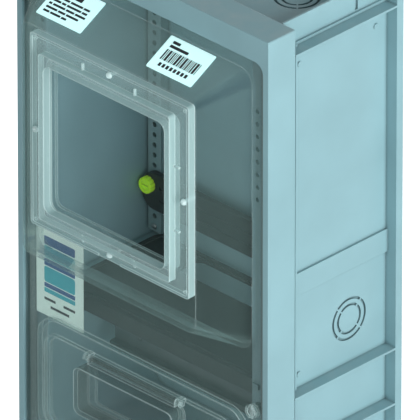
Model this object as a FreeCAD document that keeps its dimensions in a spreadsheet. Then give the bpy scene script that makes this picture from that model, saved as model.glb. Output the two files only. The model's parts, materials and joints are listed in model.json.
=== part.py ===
import FreeCAD, Part
import math
import os
import types

import Sketcher

# A wall-mounted electricity meter box. The origin is the middle of the wall-fixing pattern on the wall plane,
# X is to the right seen from the front, +Y goes into the wall and +Z is up. A depth is a distance in front of
# the wall plane, so a depth of 10 is at Y = -10.

# Driving sizes in millimetres: name, value, what it is.
SIZES = (
    ("box_width", 300, "outside width of the lid and of the back flange"),
    ("box_height", 520, "outside height of the lid and of the back flange"),
    ("box_depth", 162, "wall plane to the front face of the lid frame"),
    ("shell_wall", 3, "wall of the base"),
    ("side_inset", 12.6, "outer plane of the lid to the outside of the base walls"),
    ("corner_step", 9.5, "height of the steps at the corners of the base walls"),
    ("inner_corner", 14, "inner corner radius of the base walls"),
    ("flange_depth", 7.7, "thickness of the back flange"),
    ("flange_corner", 5, "corner radius of the back flange"),
    ("back_gap", 9, "wall plane to the back panel"),
    ("rim_reach", 5.6, "how far the front rim stands out past the base walls"),
    ("rim_depth", 6, "thickness of the front rim"),
    ("rim_corner", 8, "outer corner radius of the front rim"),
    ("lip_reach", 12, "how far the upright front lips stand in from the side walls"),
    ("lip_hole", 2.2, "radius of the holes in the front lips"),
    ("lip_hole_pitch", 12.2, "spacing of the holes in the front lips"),
    ("lip_hole_count", 8, "number of holes in one front lip"),
    ("lip_first_hole", 97, "height of the lowest hole of the front lips"),
    ("catch_width", 7, "width of the small catch on the right front lip"),
    ("catch_height", 5, "height of that catch"),
    ("catch_proud", 2, "how far the catch stands out"),
    ("catch_drop", 84, "drop of the middle of the catch"),
    ("rib_thickness", 2, "thickness of the outside ribs"),
    ("rib_gap", 0.8, "front ends of the ribs to the lid skirt"),
    ("corner_rib_height", 234.5, "height of the corner ribs above and below the middle"),
    ("middle_rib_drop", 98.7, "drop of the first lower rib"),
    ("lower_rib_drop", 153, "drop of the second lower rib"),
    ("edge_rib_depth", 117.5, "wall plane to the back of the upright edge ribs"),
    ("edge_rib_proud", 3, "how far the upright edge ribs stand out"),
    ("parapet_inset", 2.4, "outside of the base walls to the outer face of the upright end ribs"),
    ("parapet_slot", 3.4, "width of the slot in the upright end ribs"),
    ("parapet_slot_depth", 41.6, "wall plane to the middle of that slot"),
    ("parapet_slot_drop", 21, "depth of that slot from the ends of the box"),
    ("band_height", 22, "height of the raised band on the sides"),
    ("band_rise", 4, "height of the middle of the raised band"),
    ("band_proud", 2.4, "how far the raised band stands out"),
    ("knockout_radius", 20.4, "outer radius of the large knock-out ring"),
    ("knockout_core", 14.5, "outer radius of the small knock-out ring"),
    ("knockout_groove", 2.3, "width of the knock-out grooves"),
    ("knockout_deep", 2.2, "depth of the knock-out grooves"),
    ("knockout_bridge", 1.6, "width of the bridges across the grooves"),
    ("side_knockout_depth", 51.5, "wall plane to the middle of the side knock-outs"),
    ("side_knockout_drop", 56, "drop of the side knock-outs"),
    ("end_knockout_depth", 72, "wall plane to the middle of the top and bottom knock-outs"),
    ("end_knockout_reach", 95, "middle to the top and bottom knock-outs"),
    ("fixing_width", 200, "sideways spacing of the wall-fixing holes"),
    ("fixing_height", 400, "upright spacing of the wall-fixing holes"),
    ("fixing_hole", 3.5, "radius of the wall-fixing holes"),
    ("fixing_boss", 8, "radius of the wall-fixing bosses"),
    ("nub_radius", 2.5, "radius of the small nubs on the sides"),
    ("nub_proud", 1.2, "how far the nubs stand out"),
    ("nub_front", 112.6, "wall plane to the front nubs"),
    ("nub_back", 21, "wall plane to the back nub"),
    ("nub_rise", 216, "height of the upper nubs"),
    ("nub_drop", 85.2, "drop of the lower nub"),
    ("ledge_drop", 94.5, "drop of the top of the shelf ledges"),
    ("ledge_thickness", 3, "thickness of the shelf ledges"),
    ("ledge_reach", 14, "how far the ledges stand in from the walls"),
    ("ledge_depth", 138, "wall plane to the front ends of the ledges"),
    ("shelf_overlap", 4, "how far the shelf lies on the ledges"),
    ("shelf_thickness", 3, "thickness of the divider shelf"),
    ("shelf_gap", 4, "back panel to the back edge of the shelf"),
    ("shelf_corner", 8, "corner radius of the shelf"),
    ("shelf_lip", 12, "height of the lip under the front edge of the shelf"),
    ("shelf_rim_inset", 4.5, "edge of the shelf to the low rim on top of it"),
    ("shelf_rim", 2, "width of that rim"),
    ("shelf_rim_height", 1.6, "height of that rim"),
    ("cable_slot_left", 69, "middle to the left end of the cable slot"),
    ("cable_slot_right", 105, "middle to the right end of the cable slot"),
    ("cable_slot_back", 24, "wall plane to the back edge of the cable slot"),
    ("cable_slot_front", 52, "wall plane to the front edge of the cable slot"),
    ("rail_reach", 124.5, "middle to the upright rails"),
    ("rail_width", 15.3, "width of the upright rails"),
    ("rail_height", 10.6, "back panel to the front of the upright rails"),
    ("rail_sheet", 1.5, "sheet thickness of the upright rails"),
    ("rail_hole", 2.5, "radius of the holes in the upright rails"),
    ("rail_pitch", 10, "spacing of the holes in the upright rails"),
    ("rail_hole_count", 32, "number of holes in one upright rail"),
    ("rail_first_hole", 83, "drop of the lowest hole of the rails"),
    ("rail_end", 5, "end hole to the end of the rail"),
    ("rail_boss", 4.2, "radius of the bosses under the rails"),
    ("crossbar_gap", 0.3, "rails to the back of the crossbar"),
    ("crossbar_drop", 44.3, "drop of the middle of the crossbar"),
    ("crossbar_height", 35.4, "height of the crossbar"),
    ("crossbar_thickness", 6, "thickness of the crossbar"),
    ("crossbar_play", 1.2, "ends of the crossbar to the base walls"),
    ("crossbar_corner", 14, "corner radius of the crossbar"),
    ("crossbar_groove", 3, "width of the long grooves in the crossbar"),
    ("crossbar_groove_depth", 1.2, "depth of the long grooves in the crossbar"),
    ("crossbar_groove_spread", 5.9, "middle of the crossbar to its long grooves"),
    ("guide_play", 0.4, "crossbar guides to the rails"),
    ("guide_width", 4, "width of the crossbar guides"),
    ("guide_length", 24, "height of the crossbar guides"),
    ("guide_depth", 7, "how far the guides reach behind the crossbar"),
    ("knob_rise", 6, "middle of the crossbar to the thumb screws"),
    ("knob_radius", 7.5, "radius of the thumb screws"),
    ("knob_thickness", 6, "thickness of the thumb screws"),
    ("knob_stud", 2.4, "radius of the studs of the thumb screws"),
    ("knob_dish", 4.6, "radius of the dish in the front of the thumb screws"),
    ("knob_dish_depth", 1.4, "depth of the dish"),
    ("knob_slot", 1.6, "width of the slot in the thumb screws"),
    ("knob_slot_depth", 1.5, "depth of the slot in the thumb screws"),
    ("knob_notch", 0.8, "radius of the grip notches of the thumb screws"),
    ("knob_notch_count", 12, "number of grip notches of a thumb screw"),
    ("running_clearance", 0.1, "radial clearance of pins and studs that turn"),
    ("rest_gap", 0.3, "gap between flat faces of pieces that move past each other"),
    ("post_reach", 80, "middle to the posts of the hat rail"),
    ("post_width", 24, "width of the posts"),
    ("post_height", 34, "height of the posts"),
    ("post_depth", 84, "wall plane to the front of the posts"),
    ("breaker_drop", 150, "drop of the middle of the hat rail and of the breaker opening"),
    ("din_length", 220, "length of the hat rail"),
    ("din_width", 35, "width of the hat rail"),
    ("din_web", 25, "width of the web of the hat rail"),
    ("din_height", 7.5, "height of the hat rail"),
    ("din_sheet", 1, "sheet thickness of the hat rail"),
    ("lid_face", 3, "thickness of the front face of the lid frame"),
    ("skirt_depth", 32, "depth of the lid skirt"),
    ("skirt_wall", 3, "wall of the lid skirt"),
    ("lid_corner", 1.5, "corner radius of the lid frame"),
    ("lid_edge", 0.6, "rounding of the front edge of the lid frame"),
    ("border_end", 24, "width of the top and bottom borders of the lid frame"),
    ("border_side", 6.5, "width of the side borders of the lid frame"),
    ("lid_opening_corner", 10, "corner radius of the opening of the lid frame"),
    ("hinge_out", 4, "hinge axis outside the left face of the lid"),
    ("hinge_depth", 124, "wall plane to the hinge axis"),
    ("hinge_spread", 170, "hinges above and below the middle"),
    ("knuckle_radius", 4, "radius of the hinge knuckles"),
    ("lid_knuckle", 16, "length of a knuckle of the lid"),
    ("base_knuckle", 6, "length of a knuckle of the base"),
    ("knuckle_gap", 0.5, "gap between knuckles"),
    ("knuckle_root", 21, "how far a knuckle of the lid runs along the skirt"),
    ("pin_radius", 2, "radius of the hinge pins"),
    ("pin_seat", 0.05, "radial gap of the pins in the knuckles that hold them"),
    ("cover_sheet", 3, "thickness of the clear cover"),
    ("cover_play", 0.5, "edge of the clear cover to the skirt"),
    ("seal_gap", 3, "front rim of the base to the clear cover"),
    ("seal_thickness", 2.7, "thickness of the lid seal"),
    ("seal_margin", 1.1, "edges of the rim to the lid seal"),
    ("hood_depth", 40, "lid face to the front of the hood"),
    ("hood_foot_width", 256, "width of the hood at its foot"),
    ("hood_foot_top", 223, "height of the top of the foot of the hood"),
    ("hood_foot_drop", 49.4, "drop of the bottom of the foot of the hood"),
    ("hood_foot_corner", 16, "corner radius of the foot of the hood"),
    ("hood_front_width", 207, "width of the front of the hood"),
    ("hood_front_top", 199.5, "height of the top of the front of the hood"),
    ("hood_front_drop", 25, "drop of the bottom of the front of the hood"),
    ("hood_front_corner", 8, "corner radius of the front of the hood"),
    ("window_shift", 8.5, "middle of the box to the middle of the window"),
    ("window_rise", 105.3, "height of the middle of the window"),
    ("window_width", 188.8, "outside width of the window frame"),
    ("window_height", 186, "outside height of the window frame"),
    ("window_corner", 3, "outer corner radius of the window frame"),
    ("window_rim", 2.5, "width of the outer rim of the window frame"),
    ("window_proud", 7.7, "hood to the front of the outer rim"),
    ("window_floor", 7, "hood to the floor of the channel"),
    ("window_lip", 5.8, "width of the inner lip at the sides of the window"),
    ("window_lip_end", 9.5, "width of the inner lip above and below the window"),
    ("window_lip_corner", 2.5, "outer corner radius of the inner lip"),
    ("lip_proud", 14.5, "hood to the front of the inner lip"),
    ("sight_width", 144.5, "width of the window opening"),
    ("sight_height", 141.7, "height of the window opening"),
    ("sight_corner", 8, "corner radius of the window opening"),
    ("window_web", 1.6, "thickness of the webs in the channel"),
    ("web_spread", 31, "webs beside the middle of each side"),
    ("web_reach", 6, "how far the webs stand out from the inner lip"),
    ("web_proud", 9, "hood to the front of the webs"),
    ("corner_hole", 1.4, "radius of the small holes in the corners of the window frame"),
    ("corner_hole_depth", 2, "depth of those holes"),
    ("corner_hole_inset", 3, "sides of the channel to those holes"),
    ("rim_notch", 26, "width of the notch in the bottom rim of the window frame"),
    ("pane_thickness", 6, "thickness of the window pane"),
    ("pane_overlap", 4, "how far the pane reaches past the opening"),
    ("pane_play", 0.2, "pane to its rebate"),
    ("field_width", 247.6, "width of the raised lower field"),
    ("field_top_drop", 109.5, "drop of the top of the lower field"),
    ("field_bottom_drop", 225, "drop of the bottom of the lower field"),
    ("field_corner", 20, "corner radius of the lower field"),
    ("field_step", 6, "height of the first step of the lower field"),
    ("field_rise", 4, "height of the second step of the lower field"),
    ("field_ledge", 12, "width of the first step of the lower field"),
    ("breaker_window_width", 100, "width of the breaker opening"),
    ("breaker_window_height", 36, "height of the breaker opening"),
    ("flap_width", 118, "width of the breaker flap"),
    ("flap_height", 46, "height of the breaker flap"),
    ("flap_depth", 17, "depth of the breaker flap"),
    ("flap_wall", 2.5, "wall of the breaker flap"),
    ("flap_corner", 7, "corner radius of the breaker flap"),
    ("flap_gap", 0.5, "lower field to the breaker flap"),
    ("flap_axis_out", 4, "lower field to the flap axis"),
    ("flap_axis_rise", 4.5, "top of the flap to the flap axis"),
    ("flap_barrel", 3, "radius of the hinge barrel of the flap"),
    ("flap_ear", 3.5, "radius of the ears that carry the flap"),
    ("flap_ear_width", 5, "width of the ears"),
    ("flap_ear_gap", 0.5, "hinge barrel to the ears"),
    ("flap_pin_radius", 1.5, "radius of the flap pin"),
    ("lock_reach", 131, "middle to the sealing lock"),
    ("lock_drop", 104, "drop of the sealing lock"),
    ("lock_head", 6.5, "radius of the head of the lock"),
    ("lock_head_height", 4.5, "height of the head of the lock"),
    ("lock_stud", 3, "radius of the stud of the lock"),
    ("lock_stud_length", 13, "how far the stud reaches behind the clear cover"),
    ("lock_socket", 5, "radius of the socket in the base"),
    ("lock_socket_depth", 16, "depth of the socket in the base"),
    ("lock_boss", 7.6, "radius of the socket's boss"),
    ("lock_slot", 2, "width of the slot in the head of the lock"),
    ("lock_slot_depth", 2.4, "depth of the slot in the head of the lock"),
    ("screw_head", 2.8, "radius of the heads of the small screws"),
    ("screw_head_height", 1.8, "height of the heads of the small screws"),
    ("screw_shank", 1.5, "radius of the shanks of the small screws"),
    ("screw_play", 0.2, "radial gap round the shanks of the screws"),
    ("screw_bite", 2, "how far a cover screw enters the lid face"),
    ("cover_screw_height", 240.2, "cover screws above and below the middle"),
    ("cover_screw_reach", 120, "middle to the outer cover screws"),
    ("cover_screw_inner", 40, "middle to the inner cover screws"),
    ("dome_inset", 5.9, "outside of the window frame to the window screws"),
    ("dome_head", 3, "radius of the window screws"),
    ("dome_top", 1.2, "radius of the flat on the window screws"),
    ("dome_height", 3.2, "height of the window screws"),
    ("dome_bite", 2, "how far the window screws reach behind the hood front"),
)

FRONT = "XZ_Plane"
LEVEL = "XY_Plane"
SIDE = "YZ_Plane"
DIAGONAL = 0.70710678

doc = FreeCAD.newDocument("meter_box")
sheet = doc.addObject("Spreadsheet::Sheet", "sizes")


class Size:
    """A number together with the sheet expression that it comes from."""

    def __init__(self, text, value):
        self.text = text
        self.value = value

    def joined(self, sign, other, value):
        return Size(f"({self.text} {sign} {other.text})", value)

    def __add__(self, other):
        other = as_size(other)
        return self.joined("+", other, self.value + other.value)

    def __sub__(self, other):
        other = as_size(other)
        return self.joined("-", other, self.value - other.value)

    def __mul__(self, other):
        other = as_size(other)
        return self.joined("*", other, self.value * other.value)

    def __truediv__(self, other):
        other = as_size(other)
        return self.joined("/", other, self.value / other.value)

    def __neg__(self):
        return Size(f"(0 - {self.text})", -self.value)


def as_size(number):
    """A plain number as a size; a size stays as it is."""
    if isinstance(number, Size):
        return number
    return Size(f"({number})", number)


def fill_sheet():
    """Writes the driving sizes to the sheet and gives them back by name."""
    named = {}
    for row, (name, value, meaning) in enumerate(SIZES, start=1):
        sheet.set(f"A{row}", meaning)
        sheet.set(f"B{row}", str(value))
        sheet.setAlias(f"B{row}", name)
        named[name] = Size(f"sizes.{name}", float(value))
    doc.recompute()
    return types.SimpleNamespace(**named)


size = fill_sheet()

# Places worked out from the driving sizes.
zero = as_size(0)
half_width = size.box_width / 2
half_height = size.box_height / 2
wall_x = half_width - size.side_inset
wall_z = half_height - size.side_inset
parapet_x = wall_x - size.parapet_inset
inner_x = wall_x - size.shell_wall
inner_z = wall_z - size.shell_wall
rim_x = wall_x + size.rim_reach
rim_z = wall_z + size.rim_reach
panel_front = size.back_gap + size.shell_wall
face_back = size.box_depth - size.lid_face
cover_back = face_back - size.cover_sheet
rim_front = cover_back - size.seal_gap
skirt_back = size.box_depth - size.skirt_depth
rib_front = skirt_back - size.rib_gap
opening_x = half_width - size.border_side
opening_z = half_height - size.border_end
hinge_x = -(half_width + size.hinge_out)
hood_front = size.box_depth + size.hood_depth
rail_front = panel_front + size.rail_height
rail_bottom = -(size.rail_first_hole + size.rail_end)
rail_last_hole = size.rail_pitch * (size.rail_hole_count - 1) - size.rail_first_hole
crossbar_back = rail_front + size.crossbar_gap
crossbar_front = crossbar_back + size.crossbar_thickness
knob_z = size.knob_rise - size.crossbar_drop
shelf_top = size.shelf_thickness - size.ledge_drop
field_front = face_back + size.field_step + size.field_rise
din_seat = size.post_depth + size.din_sheet
flap_back = field_front + size.flap_gap
flap_top = size.flap_height / 2 - size.breaker_drop
flap_axis_depth = field_front + size.flap_axis_out
flap_axis_z = flap_top + size.flap_axis_rise
flap_barrel_half = size.flap_width / 2 - size.flap_corner
window_front = hood_front + size.window_floor
pane_x = size.sight_width / 2 + size.pane_overlap
pane_z = size.sight_height / 2 + size.pane_overlap
lip_x = size.sight_width / 2 + size.window_lip
lip_z = size.sight_height / 2 + size.window_lip_end
channel_x = size.window_width / 2 - size.window_rim
channel_z = size.window_height / 2 - size.window_rim
dome_x = size.window_width / 2 - size.dome_inset
dome_z = size.window_height / 2 - size.dome_inset


def bind(item, path, length):
    item.setExpression(path, length.text)


def rectangle(left, right, low, high):
    """An outline with four square corners."""
    return outline((left, low), (right, low), (right, high), (left, high))


def outline(*corners):
    """A closed outline of straight edges through corners given as pairs of sizes."""
    corners = [(as_size(x), as_size(y)) for x, y in corners]

    def draw(first):
        points = [FreeCAD.Vector(x.value, y.value, 0) for x, y in corners]
        count = len(points)
        edges = [Part.LineSegment(points[index], points[(index + 1) % count]) for index in range(count)]
        rules = []
        for index, (x, y) in enumerate(corners):
            following = first + (index + 1) % count
            rules.append((Sketcher.Constraint("Coincident", first + index, 2, following, 1), None))
            rules.append(held("DistanceX", first + index, 1, x))
            rules.append(held("DistanceY", first + index, 1, y))
        return edges, rules

    return draw


def circle(x, y, radius):
    """A full circle."""
    x, y = as_size(x), as_size(y)

    def draw(first):
        centre = FreeCAD.Vector(x.value, y.value, 0)
        edge = Part.Circle(centre, FreeCAD.Vector(0, 0, 1), radius.value)
        rules = [
            held("DistanceX", first, 3, x),
            held("DistanceY", first, 3, y),
            (Sketcher.Constraint("Radius", first, radius.value), radius.text),
        ]
        return [edge], rules

    return draw


def rounded(left, right, low, high, radius):
    """A rectangle with four equal round corners."""
    quarter = math.pi / 2

    def draw(first):
        x0, x1, y0, y1, r = (item.value for item in (left, right, low, high, radius))
        runs = (
            ((x0 + r, y0), (x1 - r, y0), (x1 - r, y0 + r)),
            ((x1, y0 + r), (x1, y1 - r), (x1 - r, y1 - r)),
            ((x1 - r, y1), (x0 + r, y1), (x0 + r, y1 - r)),
            ((x0, y1 - r), (x0, y0 + r), (x0 + r, y0 + r)),
        )
        edges = []
        rules = [(Sketcher.Constraint("Radius", first + 1, r), radius.text)]
        for turn, (start, end, middle) in enumerate(runs):
            edges.append(Part.LineSegment(FreeCAD.Vector(*start), FreeCAD.Vector(*end)))
            arc = Part.Circle(FreeCAD.Vector(*middle), FreeCAD.Vector(0, 0, 1), r)
            edges.append(Part.ArcOfCircle(arc, (turn - 1) * quarter, turn * quarter))
            line = first + 2 * turn
            following = first + (2 * turn + 2) % 8
            direction = "Vertical" if turn % 2 else "Horizontal"
            rules.append((Sketcher.Constraint("Tangent", line, 2, line + 1, 1), None))
            rules.append((Sketcher.Constraint("Tangent", line + 1, 2, following, 1), None))
            rules.append((Sketcher.Constraint(direction, line), None))
            if turn:
                rules.append((Sketcher.Constraint("Equal", first + 1, line + 1), None))
        rules.append(held("DistanceY", first, 1, low))
        rules.append(held("DistanceX", first + 2, 1, right))
        rules.append(held("DistanceY", first + 4, 1, high))
        rules.append(held("DistanceX", first + 6, 1, left))
        return edges, rules

    return draw


def centred(half_x, half_y, radius, x=zero, y=zero):
    """A round-cornered rectangle about a middle point."""
    return rounded(x - half_x, x + half_x, y - half_y, y + half_y, radius)


def held(kind, edge, end, place):
    """A rule that ties one coordinate of a sketch point to a size, measured from the sketch origin."""
    return Sketcher.Constraint(kind, -1, 1, edge, end, place.value), place.text


def new_body(label):
    body = doc.addObject("PartDesign::Body", label)
    body.Label = label
    return body


def new_sketch(body, name, plane, start, shapes, x=zero, y=zero):
    """A sketch on one of the body's own origin planes, moved along the plane's normal and along the plane."""
    support = [item for item in body.Origin.OriginFeatures if item.Role == plane]
    sketch = body.newObject("Sketcher::SketchObject", f"{body.Label}_{name}_sketch")
    sketch.AttachmentSupport = [(support[0], "")]
    sketch.MapMode = "FlatFace"
    bind(sketch, "AttachmentOffset.Base.x", x)
    bind(sketch, "AttachmentOffset.Base.y", y)
    bind(sketch, "AttachmentOffset.Base.z", as_size(start))
    edges = []
    rules = []
    for draw in shapes:
        more_edges, more_rules = draw(len(edges))
        edges += more_edges
        rules += more_rules
    sketch.addGeometry(edges, False)
    sketch.addConstraint([constraint for constraint, text in rules])
    for index, (constraint, text) in enumerate(rules):
        if text is not None:
            sketch.setExpression(f"Constraints[{index}]", text)
    return sketch


volumes = {}


def extrude(kind, body, name, plane, start, length, shapes, reverse):
    """Pads or pockets a sketch and stops if the body doesn't grow or shrink by it."""
    sketch = new_sketch(body, name, plane, start, shapes)
    feature = body.newObject(kind, f"{body.Label}_{name}")
    feature.Profile = sketch
    feature.Reversed = reverse
    feature.Refine = False
    bind(feature, "Length", as_size(length))
    doc.recompute()
    before = volumes.get(body.Label, 0)
    volumes[body.Label] = feature.Shape.Volume
    change = volumes[body.Label] - before
    if kind.endswith("Pocket"):
        change = -change
    if change <= 0:
        raise ValueError(f"{feature.Label} changes nothing")
    return feature


def add(body, name, plane, start, length, *shapes, reverse=False):
    """Pads shapes along the plane's normal: forward, up or to the right."""
    return extrude("PartDesign::Pad", body, name, plane, start, length, shapes, reverse)


def cut(body, name, plane, start, length, *shapes, reverse=False):
    """Pockets shapes against the plane's normal, or along it where reversed."""
    return extrude("PartDesign::Pocket", body, name, plane, start, length, shapes, reverse)


def loft(kind, body, name, back, front, back_shape, front_shape):
    """A loft forward from one outline to another."""
    foot = new_sketch(body, f"{name}_foot", FRONT, back, [back_shape])
    top = new_sketch(body, f"{name}_top", FRONT, front, [front_shape])
    feature = body.newObject(kind, f"{body.Label}_{name}")
    feature.Profile = foot
    feature.Sections = [top]
    doc.recompute()
    volumes[body.Label] = feature.Shape.Volume
    return feature


def turned(body, name, x, z, profile):
    """Revolves a profile of (radius, depth) corners about an axis that runs into the wall."""
    corners = [(radius, -depth) for radius, depth in profile]
    sketch = new_sketch(body, name, LEVEL, z, [outline(*corners)], x=x)
    feature = body.newObject("PartDesign::Revolution", f"{body.Label}_{name}")
    feature.Profile = sketch
    feature.ReferenceAxis = (sketch, ["V_Axis"])
    feature.Angle = 360
    doc.recompute()
    volumes[body.Label] = feature.Shape.Volume
    return feature


def knock_outs(body, name, plane, face, places, outward):
    """Ring grooves with four bridges, pressed into a wall that looks along or against the normal."""
    deep = size.knockout_deep
    buried = size.knockout_groove / 2
    inner = size.knockout_core - size.knockout_groove - buried
    outer = size.knockout_radius + buried
    rings = []
    bars = []
    for x, y in places:
        for radius in (size.knockout_radius, size.knockout_core):
            rings.append(circle(x, y, radius))
            rings.append(circle(x, y, radius - size.knockout_groove))
        for across, up in ((1, 1), (-1, 1), (-1, -1), (1, -1)):
            bars.append(bar(x, y, across * DIAGONAL, up * DIAGONAL, inner, outer, size.knockout_bridge / 2))
    cut(body, f"{name}_rings", plane, face, deep, *rings, reverse=outward < 0)
    start = face - deep if outward > 0 else face
    add(body, f"{name}_bridges", plane, start, deep, *bars)


def bar(x, y, across, up, inner, outer, half):
    """A straight bar that points away from a middle point."""
    corners = []
    for reach, edge in ((inner, -half), (outer, -half), (outer, half), (inner, half)):
        corners.append((x + reach * across - edge * up, y + reach * up + edge * across))
    return outline(*corners)


def rod(name, x, depth, z, radius, length, top_radius=None):
    """A cylinder, or a cone, that runs forward from a depth."""
    if top_radius is None:
        item = doc.addObject("Part::Cylinder", name)
        bind(item, "Radius", radius)
    else:
        item = doc.addObject("Part::Cone", name)
        bind(item, "Radius1", radius)
        bind(item, "Radius2", top_radius)
    bind(item, "Height", length)
    item.Placement = FreeCAD.Placement(FreeCAD.Vector(), FreeCAD.Rotation(FreeCAD.Vector(1, 0, 0), 90))
    bind(item, "Placement.Base.x", as_size(x))
    bind(item, "Placement.Base.y", -as_size(depth))
    bind(item, "Placement.Base.z", as_size(z))
    return item


def group(label, solids):
    """Separate solids kept together under one label."""
    item = doc.addObject("Part::Compound", label)
    item.Label = label
    item.Links = solids
    return item


def joined(name, *solids):
    item = doc.addObject("Part::MultiFuse", name)
    item.Shapes = list(solids)
    return item


def front_screws(label, places, seat, shank_end):
    """Screws with their heads in front of a seat and their shanks behind it."""
    screws = []
    for number, (x, z) in enumerate(places, start=1):
        shank = rod(f"{label}_shank_{number}", x, shank_end, z, size.screw_shank, seat - shank_end)
        head = rod(f"{label}_head_{number}", x, seat, z, size.screw_head, size.screw_head_height)
        screws.append(joined(f"{label}_{number}", shank, head))
    return group(label, screws)


def mirrored_pairs(*reaches):
    """Each reach to the left and to the right."""
    return [place for reach in reaches for place in (-reach, reach)]


# Where screws go.
rail_screw_places = [
    (x, z) for x in mirrored_pairs(size.rail_reach) for z in (-size.rail_first_hole, rail_last_hole)
]
din_screw_places = [(x, -size.breaker_drop) for x in mirrored_pairs(size.post_reach)]
shelf_screw_x = inner_x - size.ledge_reach + size.shelf_overlap / 2
cover_screw_places = [
    (x, z)
    for x in mirrored_pairs(size.cover_screw_reach, size.cover_screw_inner)
    for z in mirrored_pairs(size.cover_screw_height)
]
fixing_places = [
    (x, z) for x in mirrored_pairs(size.fixing_width / 2) for z in mirrored_pairs(size.fixing_height / 2)
]
dome_places = [
    (size.window_shift - dome_x, size.window_rise),
    (size.window_shift + dome_x, size.window_rise),
    (size.window_shift, size.window_rise - dome_z),
    (size.window_shift, size.window_rise + dome_z),
]
screw_hole = size.screw_shank + size.screw_play
hinge_heights = mirrored_pairs(size.hinge_spread)


def base_ribs():
    """Outlines of the outside ribs and raised bands, seen from the front."""
    buried = size.shell_wall / 2
    thin = size.rib_thickness / 2
    shapes = []
    heights = mirrored_pairs(size.corner_rib_height) + [-size.middle_rib_drop, -size.lower_rib_drop]
    for side in (-1, 1):
        for height in heights:
            root = (wall_x - buried) * side
            shapes.append(rectangle(root, half_width * side, height - thin, height + thin))
        low = size.band_rise - size.band_height / 2
        high = size.band_rise + size.band_height / 2
        shapes.append(rectangle((wall_x - buried) * side, (wall_x + size.band_proud) * side, low, high))
        inside = parapet_x - size.rib_thickness
        for end in (-1, 1):
            shapes.append(
                rectangle(inside * side, parapet_x * side, (wall_z - buried) * end, half_height * end)
            )
    return shapes


def edge_ribs():
    """Outlines of the low upright ribs near the front of the sides."""
    reach = wall_z - size.corner_step
    shapes = []
    for side in (-1, 1):
        root = (wall_x - size.shell_wall / 2) * side
        shapes.append(rectangle(root, (wall_x + size.edge_rib_proud) * side, -reach, reach))
    return shapes


def base_knuckles(body):
    """Arms on the left wall that hold the hinge pins, above and below each knuckle of the lid."""
    barrel = circle(hinge_x, -size.hinge_depth, size.knuckle_radius)
    bore = circle(hinge_x, -size.hinge_depth, size.pin_radius + size.pin_seat)
    inside = size.lid_knuckle / 2 + size.knuckle_gap
    root = -(wall_x - size.shell_wall / 2)
    starts = [
        start for height in hinge_heights for start in (height - inside - size.base_knuckle, height + inside)
    ]
    arms = [rectangle(hinge_x, root, start, start + size.base_knuckle) for start in starts]
    add(body, "arms", FRONT, size.hinge_depth - size.knuckle_radius, size.knuckle_radius * 2, *arms)
    for number, start in enumerate(starts, start=1):
        add(body, f"barrel_{number}", LEVEL, start, size.base_knuckle, barrel)
    for number, height in enumerate(hinge_heights, start=1):
        top = height + inside + size.base_knuckle
        cut(body, f"pin_bore_{number}", LEVEL, top, (inside + size.base_knuckle) * 2, bore)


def base_side_nubs(body):
    """Small nubs near the corners of the upper side fields."""
    front = -size.nub_front
    places = ((front, size.nub_rise), (-size.nub_back, size.nub_rise), (front, -size.nub_drop))
    nubs = [circle(y, z, size.nub_radius) for y, z in places]
    add(body, "right_nubs", SIDE, wall_x, size.nub_proud, *nubs)
    add(body, "left_nubs", SIDE, -wall_x, size.nub_proud, *nubs, reverse=True)


def stepped_walls():
    """Outline of the base walls: a rectangle with a small step at each corner."""
    x = wall_x
    z = wall_z
    step_x = parapet_x
    step_z = wall_z - size.corner_step
    return outline(
        (-step_x, -z), (step_x, -z), (step_x, -step_z), (x, -step_z), (x, step_z), (step_x, step_z),
        (step_x, z), (-step_x, z), (-step_x, step_z), (-x, step_z), (-x, -step_z), (-step_x, -step_z),
    )


def front_lips(body):
    """Upright lips behind the side edges of the clear cover, with a row of holes and a small catch."""
    lips = []
    holes = []
    for side in (-1, 1):
        near = (inner_x - size.lip_reach) * side
        far = (inner_x + size.shell_wall / 2) * side
        lips.append(rectangle(near, far, -inner_z, inner_z))
        middle = (inner_x - size.lip_reach / 2) * side
        for number in range(int(size.lip_hole_count.value)):
            holes.append(circle(middle, size.lip_first_hole + size.lip_hole_pitch * number, size.lip_hole))
    add(body, "front_lips", FRONT, rim_front - size.shell_wall, size.shell_wall, *lips)
    cut(body, "lip_holes", FRONT, rim_front, size.shell_wall, *holes)
    half = size.catch_height / 2
    right = inner_x - size.shell_wall
    catch = rectangle(right - size.catch_width, right, -(size.catch_drop + half), half - size.catch_drop)
    add(body, "catch", FRONT, rim_front, size.catch_proud, catch)


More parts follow.
